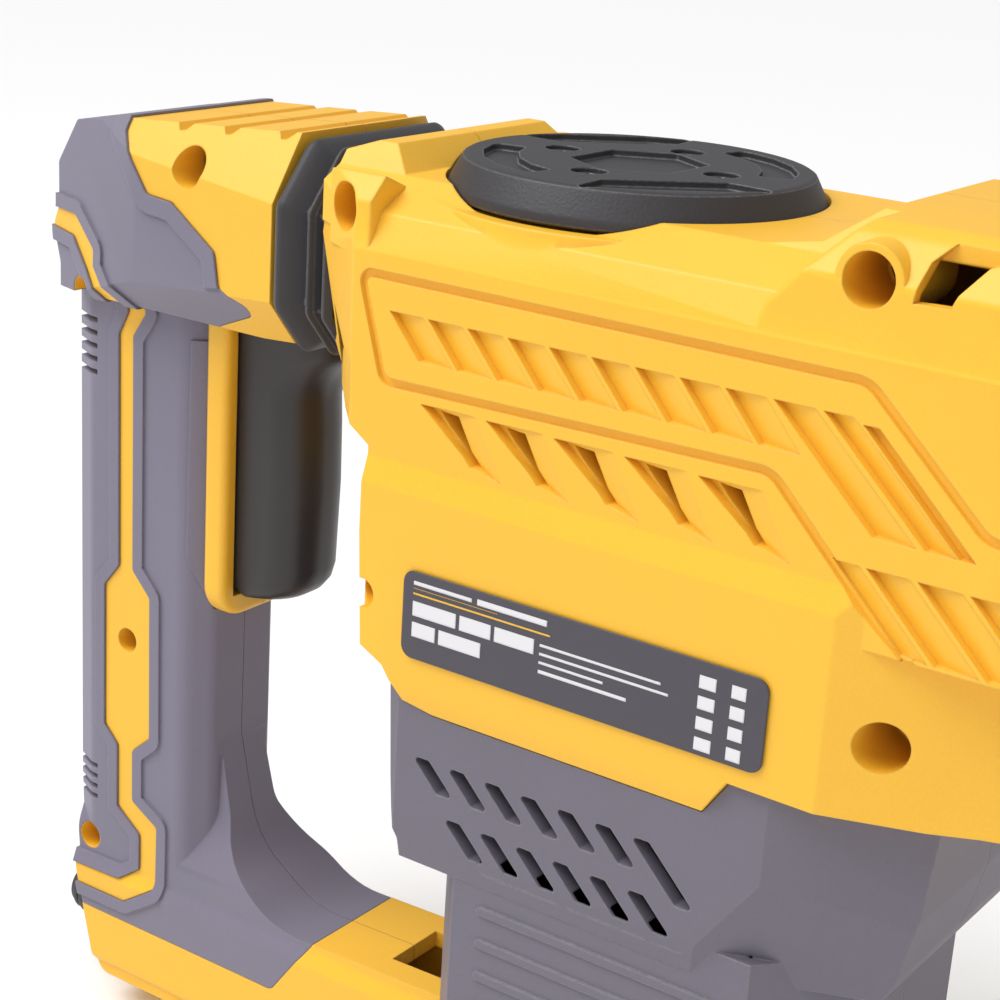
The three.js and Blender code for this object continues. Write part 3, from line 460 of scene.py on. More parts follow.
def surfaced(name, group, colour, values, shader_values):
    """A material whose colour, roughness and normal come from one of the two surface groups."""
    material = bpy.data.materials.new(name)
    material.use_nodes = True
    tree = material.node_tree
    shader = tree.nodes["Principled BSDF"]
    surface = tree.nodes.new("ShaderNodeGroup")
    surface.node_tree = bpy.data.node_groups[group]
    feed(tree, (*colour, 1), surface.inputs["Color"])
    for key, value in values.items():
        feed(tree, value, surface.inputs[key])
    for key, target in (("Color", "Base Color"), ("Roughness", "Roughness"), ("Normal", "Normal")):
        feed(tree, surface.outputs[key], shader.inputs[target])
    for key, value in shader_values.items():
        feed(tree, value, shader.inputs[key])
    material.diffuse_color = (*colour, 1)
    return material


# the edge value paints the edges paler: partly wear, partly a painted highlight
def moulded(name, colour, roughness, grain_scale=2200, grain=0.2, mottle=0.06, edge_wear_and_highlight=0.15, gloss=0.5,
            sheen=0.0):
    """A moulded plastic or rubber."""
    return surfaced(name, "moulded_surface", colour,
                    {"Roughness": roughness, "Grain Scale": grain_scale, "Grain Strength": grain,
                     "Mottle": mottle, "Edge Wear": edge_wear_and_highlight},
                    {"Specular IOR Level": gloss, "Sheen Weight": sheen})


def metal(name, colour, roughness, marks=0.2):
    """A turned, ground or cast metal."""
    return surfaced(name, "worked_metal", colour, {"Roughness": roughness, "Marks": marks},
                    {"Metallic": 1.0})


def make_materials(colours):
    """Every finish of the hammer, by the name of its slot."""
    moulded_surface()
    worked_metal()
    return {
        "yellow_plastic": moulded("yellow_plastic", colours.shell, 0.42, 1500, 0.16, 0.12, 0.05, 0.45),
        "grey_plastic": moulded("grey_plastic", colours.cover, 0.5, 1700, 0.22, 0.16, 0.18, 0.45),
        "grip_rubber": moulded("grip_rubber", colours.grip, 0.52, 1900, 0.15, 0.14, 0.08, 0.4, 0.15),
        "black_rubber": moulded("black_rubber", colours.seal, 0.55, 1500, 0.2, 0.2, 0.12, 0.4, 0.1),
        "black_plastic": moulded("black_plastic", colours.seal, 0.5, 1300, 0.45, 0.3, 0.25, 0.45),
        "plate_foil": moulded("plate_foil", colours.plate, 0.4, 1600, 0.05, 0.1, 0.0, 0.5),
        "steel": metal("steel", (0.55, 0.55, 0.56), 0.3),
        "dark_steel": metal("dark_steel", (0.16, 0.16, 0.17), 0.36),
        "cast_alloy": metal("cast_alloy", (0.52, 0.53, 0.55), 0.5, 0.4),
        "brass": metal("brass", (0.72, 0.5, 0.18), 0.32),
        "copper": metal("copper", (0.72, 0.32, 0.16), 0.35),
        "carbon": moulded("carbon", (0.02, 0.02, 0.022), 0.7),
        "trigger_plastic": moulded("trigger_plastic", colours.trigger, 0.38, 2600, 0.07, 0.08, 0.05, 0.5),
        "plate_rule": moulded("plate_rule", colours.shell, 0.4, 1500, 0.02, 0.02, 0.0),
        "plate_mark": moulded("plate_mark", (0.75, 0.74, 0.76), 0.45, 1500, 0.02, 0.03, 0.0),
    }


# ------------------------------------------------------------ main housing
SEAM = [(-66.5, 156.8), (-60, 153.5), (-54.5, 146), (-46, 144.5), (25, 144.5), (31, 153.5), (72, 153)]
HOUSING_SIDE = [
    (-92, 265.5), (-84, 268.4), (-79, 268.4), (-73, 262.5), (18, 262.5), (30, 264.5), (40, 272),
    (104, 272), (122, 250), (122, 168), (100, 154.5), *reversed(SEAM),
    (-68, 184), (-68, 204), (-74, 208), (-92, 214),
]
UPPER_PLAN = mirrored([(-92, 39.5), (-74, 50), (84, 50), (122, 42)])
LOWER_PLAN = mirrored([(-70, 52), (51, 52), (82, 40), (122, 30)])
UPPER_SECTION = [
    (-50, 190), (50, 190), (50, 248), (46, 256), (34, 262.5), (26, 273), (-26, 273), (-34, 262.5),
    (-46, 256), (-50, 248),
]
LOWER_SECTION = [
    (-49, 139.5), (49, 139.5), (52, 150.5), (52, 196), (50, 202), (-50, 202), (-52, 196), (-52, 150.5),
]
HOUSING_WALL = 3.0
HOUSING_SCREWS = [(-79.5, 256), (48.6, 262.4), (62, 170)]
REAR_HOLE = (-66.6, 169.5)
HOUSING_RING_TOP = 258.9
SCREW_FLOOR = -29.5
SIDE_FACE = -50.0
BAND = [
    (-71.7, 243.3, 2.2), (51.5, 243.3, 7), (79, 218, 7), (112, 218, 3), (112, 186.5, 3), (70.8, 186.5, 7),
    (57, 197.3, 20), (33, 221.2, 7), (-64.5, 219.6, 3),
]
SLAT_TOP, SLAT_BOTTOM = 235.8, 226.0
SLAT_PITCH, SLAT_WIDTH, SLAT_LEAN = 10.55, 9.1, 8.6
VENT_PITCH = 17.6


def housing_hull(inset):
    """The housing's outer form, without its round shroud."""
    hulls = []
    for plan, section in ((UPPER_PLAN, UPPER_SECTION), (LOWER_PLAN, LOWER_SECTION)):
        side = prism("y", inward(HOUSING_SIDE, inset), -70, 70)
        hulls.append(meet(side, prism("z", inward(plan, inset), 100, 300),
                          prism("x", inward(section, inset), -150, 250)))
    return join(*hulls)


def under_seam():
    return prism("y", [*SEAM, (130, 153.5), (130, 100), (-80, 100), (-80, 156.8)], -80, 80)


def screw_rods(radius, deep, places, outer=-80):
    return [rod("y", radius, outer, deep, (x, 0, z), 40) for x, z in places]


def louvre_tools():
    """The slanted slats inside the band, shallow at one edge and deeper at the other."""
    tools = []
    for i in range(9):
        x = -63.4 + i * SLAT_PITCH
        corners = [(x, SLAT_TOP), (x + SLAT_WIDTH, SLAT_TOP),
                   (x + SLAT_WIDTH + SLAT_LEAN, SLAT_BOTTOM), (x + SLAT_LEAN, SLAT_BOTTOM)]
        tools.append(ramp_pocket(corners, (2.0, 0.25, 0.25, 2.0), SIDE_FACE))
    for top, reach, width in ((31.8, 24, 9.1), (42.7, 24.2, 6.4)):
        corners = [(top, SLAT_TOP), (top + width, SLAT_TOP), (top + width + reach, 213.2),
                   (top + reach, 213.2)]
        tools.append(ramp_pocket(corners, (2.1, 0.25, 0.25, 2.1), SIDE_FACE))
    last = [(51.2, SLAT_TOP - 1), (54.6, SLAT_TOP - 1), (77.2, 213.2), (73.8, 213.2)]
    tools.append(ramp_pocket(last, (2.1, 2.1, 2.1, 2.1), SIDE_FACE))
    for top, width in ((44.5, 9.2), (55.3, 9.2), (66.1, 9.2), (76.9, 9.2)):
        corners = [(top, 206.8), (top + width, 206.8), (top + width + 16.4, 190.8), (top + 16.4, 190.8)]
        if top < 50:
            corners = [(top + 3, 206.8), (top + width, 206.8), (top + width + 16.4, 190.8),
                       (top + 19.4, 190.8)]
        tools.append(ramp_pocket(corners, (2.0, 0.25, 0.25, 2.0), SIDE_FACE))
    return tools


def vent_tools():
    """A sloping pocket with a slot through the wall at its rear edge, five times."""
    tools = []
    for i in range(5):
        x = i * VENT_PITCH
        pocket = [(x - 53.7, 216.6), (x - 39.0, 216.8), (x - 31.3, 203.4), (x - 38.9, 205.3)]
        tools.append(ramp_pocket(pocket, (2.7, 0.05, 0.05, 2.7), SIDE_FACE))
        slot = [(x - 49.6, 215.6), (x - 44.1, 215.6), (x - 38.2, 205.2), (x - 39.6, 205.2)]
        tools.append(prism("y", slot, -60, -38))
    return tools


def vent_ribs():
    """Ribs inside the wall that close the view through the vents, all but a narrow slit."""
    tools = []
    for i in range(5):
        x = i * VENT_PITCH
        rib = [(x - 54, 218.5), (x - 41, 218.5), (x - 36, 204), (x - 45, 204)]
        tools.append(prism("y", rib, -48, -40.5))
    return tools


FRONT_SIDE = [(22, 240), (27, 254), (36, 264), (43, 272), (104, 272), (122, 250), (122, 200), (22, 200)]
FRONT_SECTION = [(-49.6, 200), (49.6, 200), (49.6, 262), (42, 270), (36, 272.5), (-36, 272.5), (-42, 270),
                 (-49.6, 262)]


def front_deck(inset):
    """The raised block over the front, with steeper shoulders than the rear deck."""
    deck = prism("y", inward(FRONT_SIDE, inset), -70, 70)
    return meet(deck, prism("x", inward(FRONT_SECTION, inset), 0, 200),
                prism("z", inward(UPPER_PLAN, inset + 0.4), 100, 300))


def front_window():
    """The latch window in the shoulder of the raised front deck."""
    outline = [(58, 259.6), (58.8, 266.8), (63.4, 271.9), (68, 276), (80, 276), (80, 270.5), (70, 267.5),
               (66.5, 262.5), (65.5, 259.9)]
    return prism("y", outline, -55, -41)


def collar_taper():
    """A wedge that slants the lower corner of the rear collar."""
    rear = [(-94, -60, 205), (-94, -23, 211.5), (-94, -31, 222.4), (-94, -37.5, 250), (-94, -60, 250)]
    front = [(-73, -60, 205), (-73, -50.5, 205), (-73, -50.6, 222.4), (-73, -50.7, 250), (-73, -60, 250)]
    return loft("tool", [rear, front], ends=True)


def build_housing(materials):
    """One hollow shell made on the right, with its grooves and vents, then its twin on the left."""
    hull = housing_hull(0)
    cut(hull, under_seam())
    cut(hull, collar_taper())
    soften(hull, 0.9, 3, 18)
    shroud = rod("x", 42, 60, SHROUD_FRONT, (0, 0, HAMMER_Z), 96)
    soften(shroud, 2, 3, 40)
    deck = front_deck(0)
    soften(deck, 1.2, 3, 18)
    ridge = rod("y", 7.4, -49.4, -20, (48.6, 0, 262.2), 56)
    collar_lug = prism("z", [(-87, -43), (-74, -49.8), (-70, -49.8), (-70, -30), (-87, -30)], 246, 264)
    meet(collar_lug, prism("x", [(-50, 240), (-50, 258.5), (-44.5, 264), (-30, 258), (-30, 240)], -100, -60))
    rear_lug = prism("z", [(-71, -45), (-64.5, -52), (-54, -52), (-54, -20), (-71, -20)], 160.5, 178.5)
    for lug in (ridge, collar_lug, rear_lug):
        soften(lug, 0.8, 2, 40)
    join(hull, shroud, deck, ridge, collar_lug, rear_lug)
    ring = rod("z", 47, 240, HOUSING_RING_TOP, (CAP.x, 0, 0), 128)
    soften(ring, 0.8, 2, 40)
    join(hull, ring)
    meet(hull, right_side())
    inner = housing_hull(HOUSING_WALL)
    join(inner, rod("x", 39, 60, SHROUD_FRONT + 5, (0, 0, HAMMER_Z), 96), front_deck(HOUSING_WALL))
    inner_bosses = screw_rods(8.2, -27, [*HOUSING_SCREWS, REAR_HOLE])
    bosses = join(*inner_bosses)
    meet(bosses, join(housing_hull(0.6), front_deck(0.6)))
    cut(hull, inner)
    join(hull, bosses, *vent_ribs())
    cut(hull, *screw_rods(5.5, SCREW_FLOOR, HOUSING_SCREWS), *screw_rods(2.4, -25, HOUSING_SCREWS),
        *screw_rods(3.6, SCREW_FLOOR, [REAR_HOLE]))
    cut(hull,
        block(-56, 56, -44, 44, 134, 165),
        rod("z", CAP_RADIUS - 7, 250, 280, (CAP.x, 0, 0), 96),
        rod("z", CAP_RADIUS + 0.4, 258.4, 280, (CAP.x, 0, 0), 128),
        block(-93, -58, -28, 28, 226, 256.5),
        front_window())
    cut(hull, groove_tool(rounded(BAND), 2.0, 1.1, SIDE_FACE))
    cut(hull, *louvre_tools())
    cut(hull, *vent_tools())
    put_pair(hull, "shell", "casing", materials, "yellow_plastic", "housing")
    for side, sign in SIDES:
        for i, (x, z) in enumerate(HOUSING_SCREWS):
            screw_head(f"shell_screw_{side}_{i + 1}", (x, 0, z), sign, SCREW_FLOOR, materials, "casing")


def screw_head(name, centre, sign, floor, materials, body, radius=4.2):
    """A pan head with a six-lobed recess at the bottom of a hole in the side."""
    profile = [(floor + 0.3, 0), (floor + 0.3, radius), (floor - 1.2, radius), (floor - 2.3, radius - 1),
               (floor - 2.6, 0)]
    head = turned("y", profile, centre, 32, name)
    lobes = [rod("y", 0.75, floor - 5, floor - 1.3, (centre[0] + 1.3 * math.cos(a), 0,
                                                      centre[2] + 1.3 * math.sin(a)), 10)
             for a in (k * math.tau / 6 for k in range(6))]
    cut(head, join(rod("y", 1.3, floor - 5, floor - 1.3, centre, 18), *lobes))
    if sign < 0:
        head = left_twin(head)
        head.name = name
    put(head, body, materials["dark_steel"], "dark_steel")


# ------------------------------------------------------------ crankcase cap
def ring_sector(inner, outer, facing, half_angle, depth, radius=2.0):
    """A tool for a curved recess in the cap's top, centred on a direction in degrees."""
    corners = []
    for distance, angles in ((inner, (-1, -0.5, 0, 0.5, 1)), (outer, (1, 0.5, 0, -0.5, -1))):
        for share in angles:
            angle = math.radians(facing + share * half_angle)
            point = (CAP.x + distance * math.cos(angle), distance * math.sin(angle))
            corners.append((*point, radius) if abs(share) == 1 else point)
    return prism("z", rounded(corners, 4), CAP_TOP - depth, CAP_TOP + 2)


def edge_recess(facing, depth):
    """A tool for a long straight-sided recess near the cap's edge."""
    half = [(24.5, 14), (33.5, 22), (36.0, 10)]
    corners = [(a, b) for a, b in half] + [(a, -b) for a, b in reversed(half)]
    turn = Matrix.Rotation(math.radians(facing), 2)
    placed = []
    for corner in corners:
        point = turn @ Vector(corner)
        placed.append((CAP.x + point.x, point.y, 1.2))
    return prism("z", rounded(placed, 4), CAP_TOP - depth, CAP_TOP + 2)


def build_cap(materials):
    """The round cap with its recessed hexagon, four curved or straight recesses and screw wells."""
    low = span("crankcase_cap")[0].z
    rim = max(low + 4.5, HOUSING_RING_TOP + 0.1)
    top_radius = CAP_RADIUS - 3.2
    profile = [
        (low, 0), (low, CAP_RADIUS - 10), (rim, CAP_RADIUS - 10), (rim, CAP_RADIUS - 0.6),
        (rim + 0.5, CAP_RADIUS), (rim + 2.0, CAP_RADIUS), (rim + 2.8, CAP_RADIUS - 0.3),
        (CAP_TOP - 1.2, top_radius + 0.4), (CAP_TOP - 0.5, top_radius), (CAP_TOP - 0.1, top_radius - 0.7),
        (CAP_TOP, top_radius - 1.5), (CAP_TOP, 0),
    ]
    cap = turned("z", profile, (CAP.x, 0, 0), 128, "cap")
    hexagon = [(CAP.x + a, b, 1.5) for a, b in ((-13, -9), (-13, 9), (0, 17), (13, 9), (13, -9), (0, -17))]
    tools = [prism("z", rounded(hexagon, 4), CAP_TOP - 1.6, CAP_TOP + 2)]
    tools += [edge_recess(-45, 1.6), edge_recess(135, 1.6)]
    tools += [ring_sector(27.5, 35.5, angle, 33, 1.6) for angle in (45, 225)]
    for tool in tools:
        soften(tool, 0.35, 2, 40)
    cut(cap, *tools)
    for place in SCREW_HEADS:
        well = rod("z", 4.1, low - 1, CAP_TOP + 2, (place.x, place.y, 0), 40)
        cut(cap, well)
    put(cap, "casing", materials["black_plastic"], "black_plastic", "crankcase_cap", angle=24)


# ------------------------------------------------------------ rating plate
def build_plate(materials):
    """The rating plate with rules, bars and squares that say nothing."""
    low, high = span("rating_plate")
    x0, x1, z0, z1, face = low.x, high.x, low.z, high.z, low.y
    outline = rounded([(x0, z0, 3), (x1, z0, 3), (x1, z1, 3), (x0, z1, 3)])
    plate = prism("y", outline, face + 0.15, high.y, "plate")
    soften(plate, 0.25, 2, 40)
    put(plate, "casing", materials["plate_foil"], "plate_foil", "rating_plate")

    def marks(name, boxes, material):
        shapes = [block(x0 + a, x0 + b, face + 0.05, face + 0.6, z1 - d, z1 - c, name)
                  for a, b, c, d in boxes]
        piece = join(*shapes)
        piece.name = name
        put(piece, "casing", materials[material], "plate_foil")

    marks("plate_rule", [(3, 40, 5.0, 5.4), (3, 26, 3.9, 4.0)], "plate_rule")
    tags = [(3, 15, 7, 10.5), (16, 24.5, 7, 10.5), (25.5, 36, 7, 10.5), (3, 9.5, 12, 15.5),
            (10.5, 22, 12, 15.5)]
    lines = [(3, 19, 2.2, 3.1), (20.5, 39, 1.9, 3.3), (37.5, 68, 7.6, 8.2), (37.5, 70, 9.6, 10.2),
             (37.5, 54, 11.6, 12.2), (37.5, 60, 13.6, 14.4)]
    squares = []
    for i in range(8):
        column, row = i % 2, 4.6 * (i // 2)
        squares.append((77 + 7.6 * column, 81 + 7 * column, row + 3.1, row + 6.0))
    marks("plate_marks", tags + lines + squares, "plate_mark")


# ------------------------------------------------------------ motor cover
COVER_SIDE = [
    (-55, 22), (55, 22), (56, 92, 12), (66, 112, 10), (70, 128, 10), (72, 152.7), (31, 153.2), (25, 144.2),
    (-46, 144.2), (-54.5, 145.7), (-60, 153.2), (-65, 151), (-60, 124, 3), (-58, 117, 3), (-55, 110, 3),
]
COVER_PLAN = mirrored([(-67, 40), (-56, 50), (40, 50), (72, 34)])
COLUMN_PLAN = mirrored([(-55, 28), (-39, 48), (39, 48), (55, 28)])
COVER_FRONT = [
    (-48, 0), (48, 0), (48, 104, 6), (50.3, 114, 6), (50.3, 200), (-50.3, 200), (-50.3, 114, 6),
    (-48, 104, 6),
]
BRUSH_HOLE = 11.0


def cover_hull(inset):
    lower = prism("z", inward(COLUMN_PLAN, inset), 21, 112)
    upper = prism("z", inward(COVER_PLAN, inset), 105 + inset, 170)
    slice_cheeks(upper, inset)
    hull = prism("y", rounded(COVER_SIDE, 5), -70, 70)
    meet(hull, prism("x", inward(rounded(COVER_FRONT, 4), inset), -120, 120))
    return meet(hull, join(lower, upper))


def slice_off(piece, point, facing):
    """Cuts away what lies beyond a plane and closes the cut."""
    mesh = bmesh.new()
    mesh.from_mesh(piece.data)
    everything = mesh.verts[:] + mesh.edges[:] + mesh.faces[:]
    bmesh.ops.bisect_plane(mesh, geom=everything, plane_co=Vector(point) * MM, plane_no=facing,
                           clear_outer=True)
    open_edges = [edge for edge in mesh.edges if edge.is_boundary]
    bmesh.ops.contextual_create(mesh, geom=open_edges)
    bmesh.ops.recalc_face_normals(mesh, faces=mesh.faces)
    mesh.to_mesh(piece.data)
    mesh.free()
    return piece


def slice_cheeks(piece, inset):
    """Cuts the two slanted front cheeks of the cover's upper part."""
    for sign in (-1, 1):
        facing = Vector((0.382, 0.882 * sign, -0.274)).normalized()
        point = Vector((54.2, 50.3 * sign, 152.9)) - facing * inset
        slice_off(piece, point, facing)


def cover_slots():
    """Two rows of slanted slots, each slot cut through the wall from a slightly wider pocket."""
    tools = []
    for first, top, depth, count in ((-48.8, 132.9, 7.6, 7), (-39.2, 120.0, 8.0, 6)):
        for i in range(count):
            x = first + i * 9.9
            longer = 5.0 if i == count - 1 and count == 7 else 0.0
            lean = depth + longer
            corners = [(x - 2.6, top, 0.8), (x + 2.4, top, 0.8), (x + 2.4 + lean, top - depth - longer, 0.8),
                       (x - 2.6 + lean, top - depth - longer, 0.8)]
            tools.append(prism("y", rounded(corners, 3), -70, -40))
    return tools


def build_motor_cover(materials):
    """The grey cover's right half and its twin, then the foot and the two brush plugs."""
    hull = cover_hull(0)
    soften(hull, 1.1, 3, 16)
    meet(hull, right_side())
    room = prism("z", inward(COLUMN_PLAN, 3), 20, 113)
    upper = prism("z", inward(COVER_PLAN, 4), 112, 190)
    slice_cheeks(upper, 3.5)
    meet(upper, prism("y", [(-52, 111), (50, 111), (62, 124), (67, 130), (67, 190), (-56, 190), (-56, 124)],
                      -47, 47))
    cut(hull, join(room, upper))
    cut(hull, *cover_slots())
    outline = [(-30, 113.5, 2), (22, 113.5, 2), (26, 109, 2), (-34, 109, 2)]
    tread = prism("y", rounded(outline, 4), -49.1, -44)
    cut(hull, rod("y", BRUSH_HOLE, -80, -30, (0, 0, BRUSH.z), 48), tread)
    for i in range(9):
        z = 30 + i * 8.5
        if abs(z - BRUSH.z) > BRUSH_HOLE + 3:
            outline = [(-33, z, 0.9), (33, z, 0.9), (31, z + 2.2, 0.9), (-31, z + 2.2, 0.9)]
            join(hull, prism("y", rounded(outline, 3), -48.6, -46))
    lug = block(PIVOT.x - 8, -52, -9, -SPLIT, COVER_BOTTOM, PIVOT.z + 9)
    cut(lug, rod("y", 4.3, -30, 30, (PIVOT.x, 0, PIVOT.z), 32))
    join(hull, lug)
    put_pair(hull, "cover", "casing", materials, "grey_plastic", "motor_cover")
    build_foot(materials)
    for side, sign in SIDES:
        brush_cap(side, sign, materials)


def build_foot(materials):
    """The bottom cover, hollow, with a wider foot and air slots through its front and rear walls."""
    top = span("bottom_cover")[1].z
    foot = prism("z", rounded([(*p, 6) for p in inward(COLUMN_PLAN, -1)], 5), 0, 11.5, "foot")
    soften(foot, 1.2, 3, 40)
    upper = prism("z", rounded([(*p, 6) for p in COLUMN_PLAN], 5), 10, top)
    join(foot, upper)
    cut(foot, prism("z", inward(COLUMN_PLAN, 3), 4, top + 2))
    slots = [block(x - 1.4, x + 1.4, -80, 80, 13, 19) for x in range(-30, 31, 6)]
    cut(foot, *slots)
    put(foot, "casing", materials["grey_plastic"], "grey_plastic", "bottom_cover")


def brush_cap(side, sign, materials):
    """A round plug with a raised rim and a slot for a driver."""
    low, high = span("brush_cap_right")
    radius = (high.x - low.x) / 2
    profile = [(low.y + 1.2, 0), (low.y + 1.2, radius - 3), (low.y, radius - 2), (low.y, radius - 0.6),
               (low.y + 0.6, radius), (high.y, radius), (high.y, 0)]
    cap = turned("y", profile, (0, 0, BRUSH.z), 64, f"brush_plug_{side}")
    cut(cap, block(-radius + 2.6, radius - 2.6, low.y - 1, low.y + 2.4, BRUSH.z - 1, BRUSH.z + 1))
    if sign < 0:
        cap = left_twin(cap)
    put(cap, "casing", materials["black_plastic"], "black_plastic", f"brush_cap_{side}")


# ------------------------------------------------------------ rear handle
LIP = 3.6  # how far the soft skin's raised lip reaches to each side of its edge
HANDLE_SIDE = [
    (-111, 214), (-111, 266.5), (-133, 265, 20), (-167, 263, 10), (-187, 259.8, 3), (-197, 247, 3),
    (-197, 235, 3), (-200, 229.5, 2), (-196.5, 220, 5), (-196.5, 70, 30), (-194, 40, 20), (-186, 8, 5),
    (-74, 8, 3), (-62, 14, 4),
    (-60, 50), (-92, 49, 12), (-118, 48, 26), (-140, 62, 24), (-147, 92, 20), (-146, 200, 6), (-134, 212, 4),
]
ARM_PLAN = [(-201, 21, 4), (-160, 32), (-111, 35), (-111, -35), (-160, -32), (-201, -21, 4)]
ARM_SECTION = [
    (-35, 226), (-24, 213), (24, 213), (35, 226), (35, 250), (24, 267), (-24, 267), (-35, 250),
]
GRIP_PLAN = [
    (-201, 12.5, 7), (-189, 18, 7), (-154, 18, 9), (-146, 11, 8), (-146, -11, 8), (-154, -18, 9),
    (-189, -18, 7), (-201, -12.5, 7),
]
LOWER_SECTION_ARM = [
    (-20, 14, 4), (-14, 7, 4), (14, 7, 4), (20, 14, 4), (20, 42, 3), (18, 46, 3), (18, 54, 12), (10, 70, 12),
    (9, 95), (-9, 95), (-10, 70, 12), (-18, 54, 12), (-18, 46, 3), (-20, 42, 3),
]
STRIPE = [
    (-215, 235), (-187, 234.6, 1.5), (-178, 227, 1.5), (-178.3, 222.6, 1), (-167.8, 210.7, 1.5),
    (-172.6, 203.7, 1.5), (-172.5, 138, 1.5), (-166.1, 131.5, 1.5), (-165.8, 89.5, 1.5),
    (-172.3, 83.9, 1.5), (-172.2, 68.5, 1.5), (-162.7, 63.2, 1.5), (-163, 43.8, 1.5), (-174, 36.4, 1.5),
    (-215, 36.1), (-215, 42), (-176.3, 43, 1.5), (-169.5, 47.6, 1.5), (-169.5, 58.5, 1.5),
    (-178.2, 64.9, 1.5), (-178.2, 84, 1.5), (-183.3, 89, 1.5), (-183.2, 131.3, 1.5), (-177.8, 138, 1.5),
    (-178, 203.3, 1.5), (-174.4, 210.3, 1.5), (-182, 221.1, 1.5), (-188.4, 228.5, 1.5), (-215, 230.7),
]
GREY_ZONE = [
    (-215, 290), (-166, 290), (-165, 259.5, 2), (-154.4, 245.4, 2), (-145.8, 244.8, 2), (-130.5, 235, 2),
    (-129, 226.5, 2), (-118.5, 221.5, 2), (-136, 214.5, 1), (-147.5, 206, 5), (-148, 147, 8),
    (-142.5, 135, 6), (-134, 131.5, 6), (-125, 135), (-120, 128), (-100, 100), (-96, 62, 3),
    (-108, 44, 3), (-118, 30, 3),
    (-215, 30),
]


# x, z, radius and floor of each screw's hole
HANDLE_SCREWS = [(-141, 254, 5.0, -20), (-185, 214.8, 3.6, -5), (-174.9, 116.6, 3.4, -9),
                 (-189.5, 51.5, 3.8, -5)]


def handle_hull(inset):
    """The handle's outer form: an eight-sided arm, a rounded grip and a lower arm."""
    def outline(corners):
        plain = [corner[:2] for corner in corners]
        return inward(rounded(corners, 6) if inset < 2 else plain, inset)
    arm = prism("x", outline(ARM_SECTION), -204, -106)
    meet(arm, prism("z", outline(ARM_PLAN), 150, 300))
    grip = prism("z", outline(GRIP_PLAN), 0, 240)
    lower = prism("x", outline(LOWER_SECTION_ARM), -204, -40)
    hull = join(arm, grip, lower)
    return meet(hull, prism("y", outline(HANDLE_SIDE), -50, 50))


def grey_zone(grow):
    zone = prism("y", inward(rounded(GREY_ZONE, 4), -grow), -60, 60)
    return cut(zone, prism("y", inward(rounded(STRIPE, 3), grow), -61, 61))


def ribbon(points, width):
    """A band of a given width along a line of (x, z) points, through both sides of the handle."""
    parts = []
    for first, second in zip(points, points[1:]):
        a, b = Vector(first[:2]), Vector(second[:2])
        across = (b - a).orthogonal().normalized() * width
        parts.append(prism("y", [a + across, b + across, b - across, a - across], -60, 60))
    for point in points[1:-1]:
        parts.append(rod("y", width, -60, 60, (point[0], 0, point[1]), 12))
    return join(*parts)


def handle_skin():
    """The soft overmould's outer form: raised lips follow every edge of the hard shell."""
    skin = handle_hull(0.75)
    soften(skin, 1.8, 3, 26)
    bands = join(ribbon(STRIPE, LIP), ribbon(GREY_ZONE[1:7], LIP + 1), ribbon(GREY_ZONE[9:13], LIP + 2))
    lips = handle_hull(0)
    soften(lips, 1.6, 3, 26)
    meet(lips, bands)
    return join(skin, lips)


def trigger_frame(grow):
    """The raised surround of the trigger on the front of the grip."""
    outline = rounded([(-16.8 - grow, 131 - grow, 9), (16.8 + grow, 131 - grow, 9), (16.8 + grow, 214),
                       (-16.8 - grow, 214)], 8)
    return prism("x", outline, -148.3 - grow, -140.6 + grow)


def trigger_pocket(margin, half_width):
    """The hole in the front of the grip that the trigger stands in."""
    return prism("y", rounded([(-172, 137.5 - margin), (-120, 137.5 - margin),
                               (-112, 192), (-112.5, 199), (-105, 200), (-105, 222), (-170, 222)], 4),
                 -half_width, half_width)


def arm_grooves():
    """Three grooves across the top of the arm, steep at the rear and easy at the front."""
    tools = []
    for rear, top in ((-150.5, 264.2), (-136.0, 265.1), (-119.0, 266.2)):
        outline = [(rear - 1, top + 3), (rear, top), (rear + 1.8, top - 2.6), (rear + 3.4, top - 2.6),
                   (rear + 6.6, top + 0.2), (rear + 8, top + 3)]
        tools.append(prism("y", outline, -50, 50))
    return tools


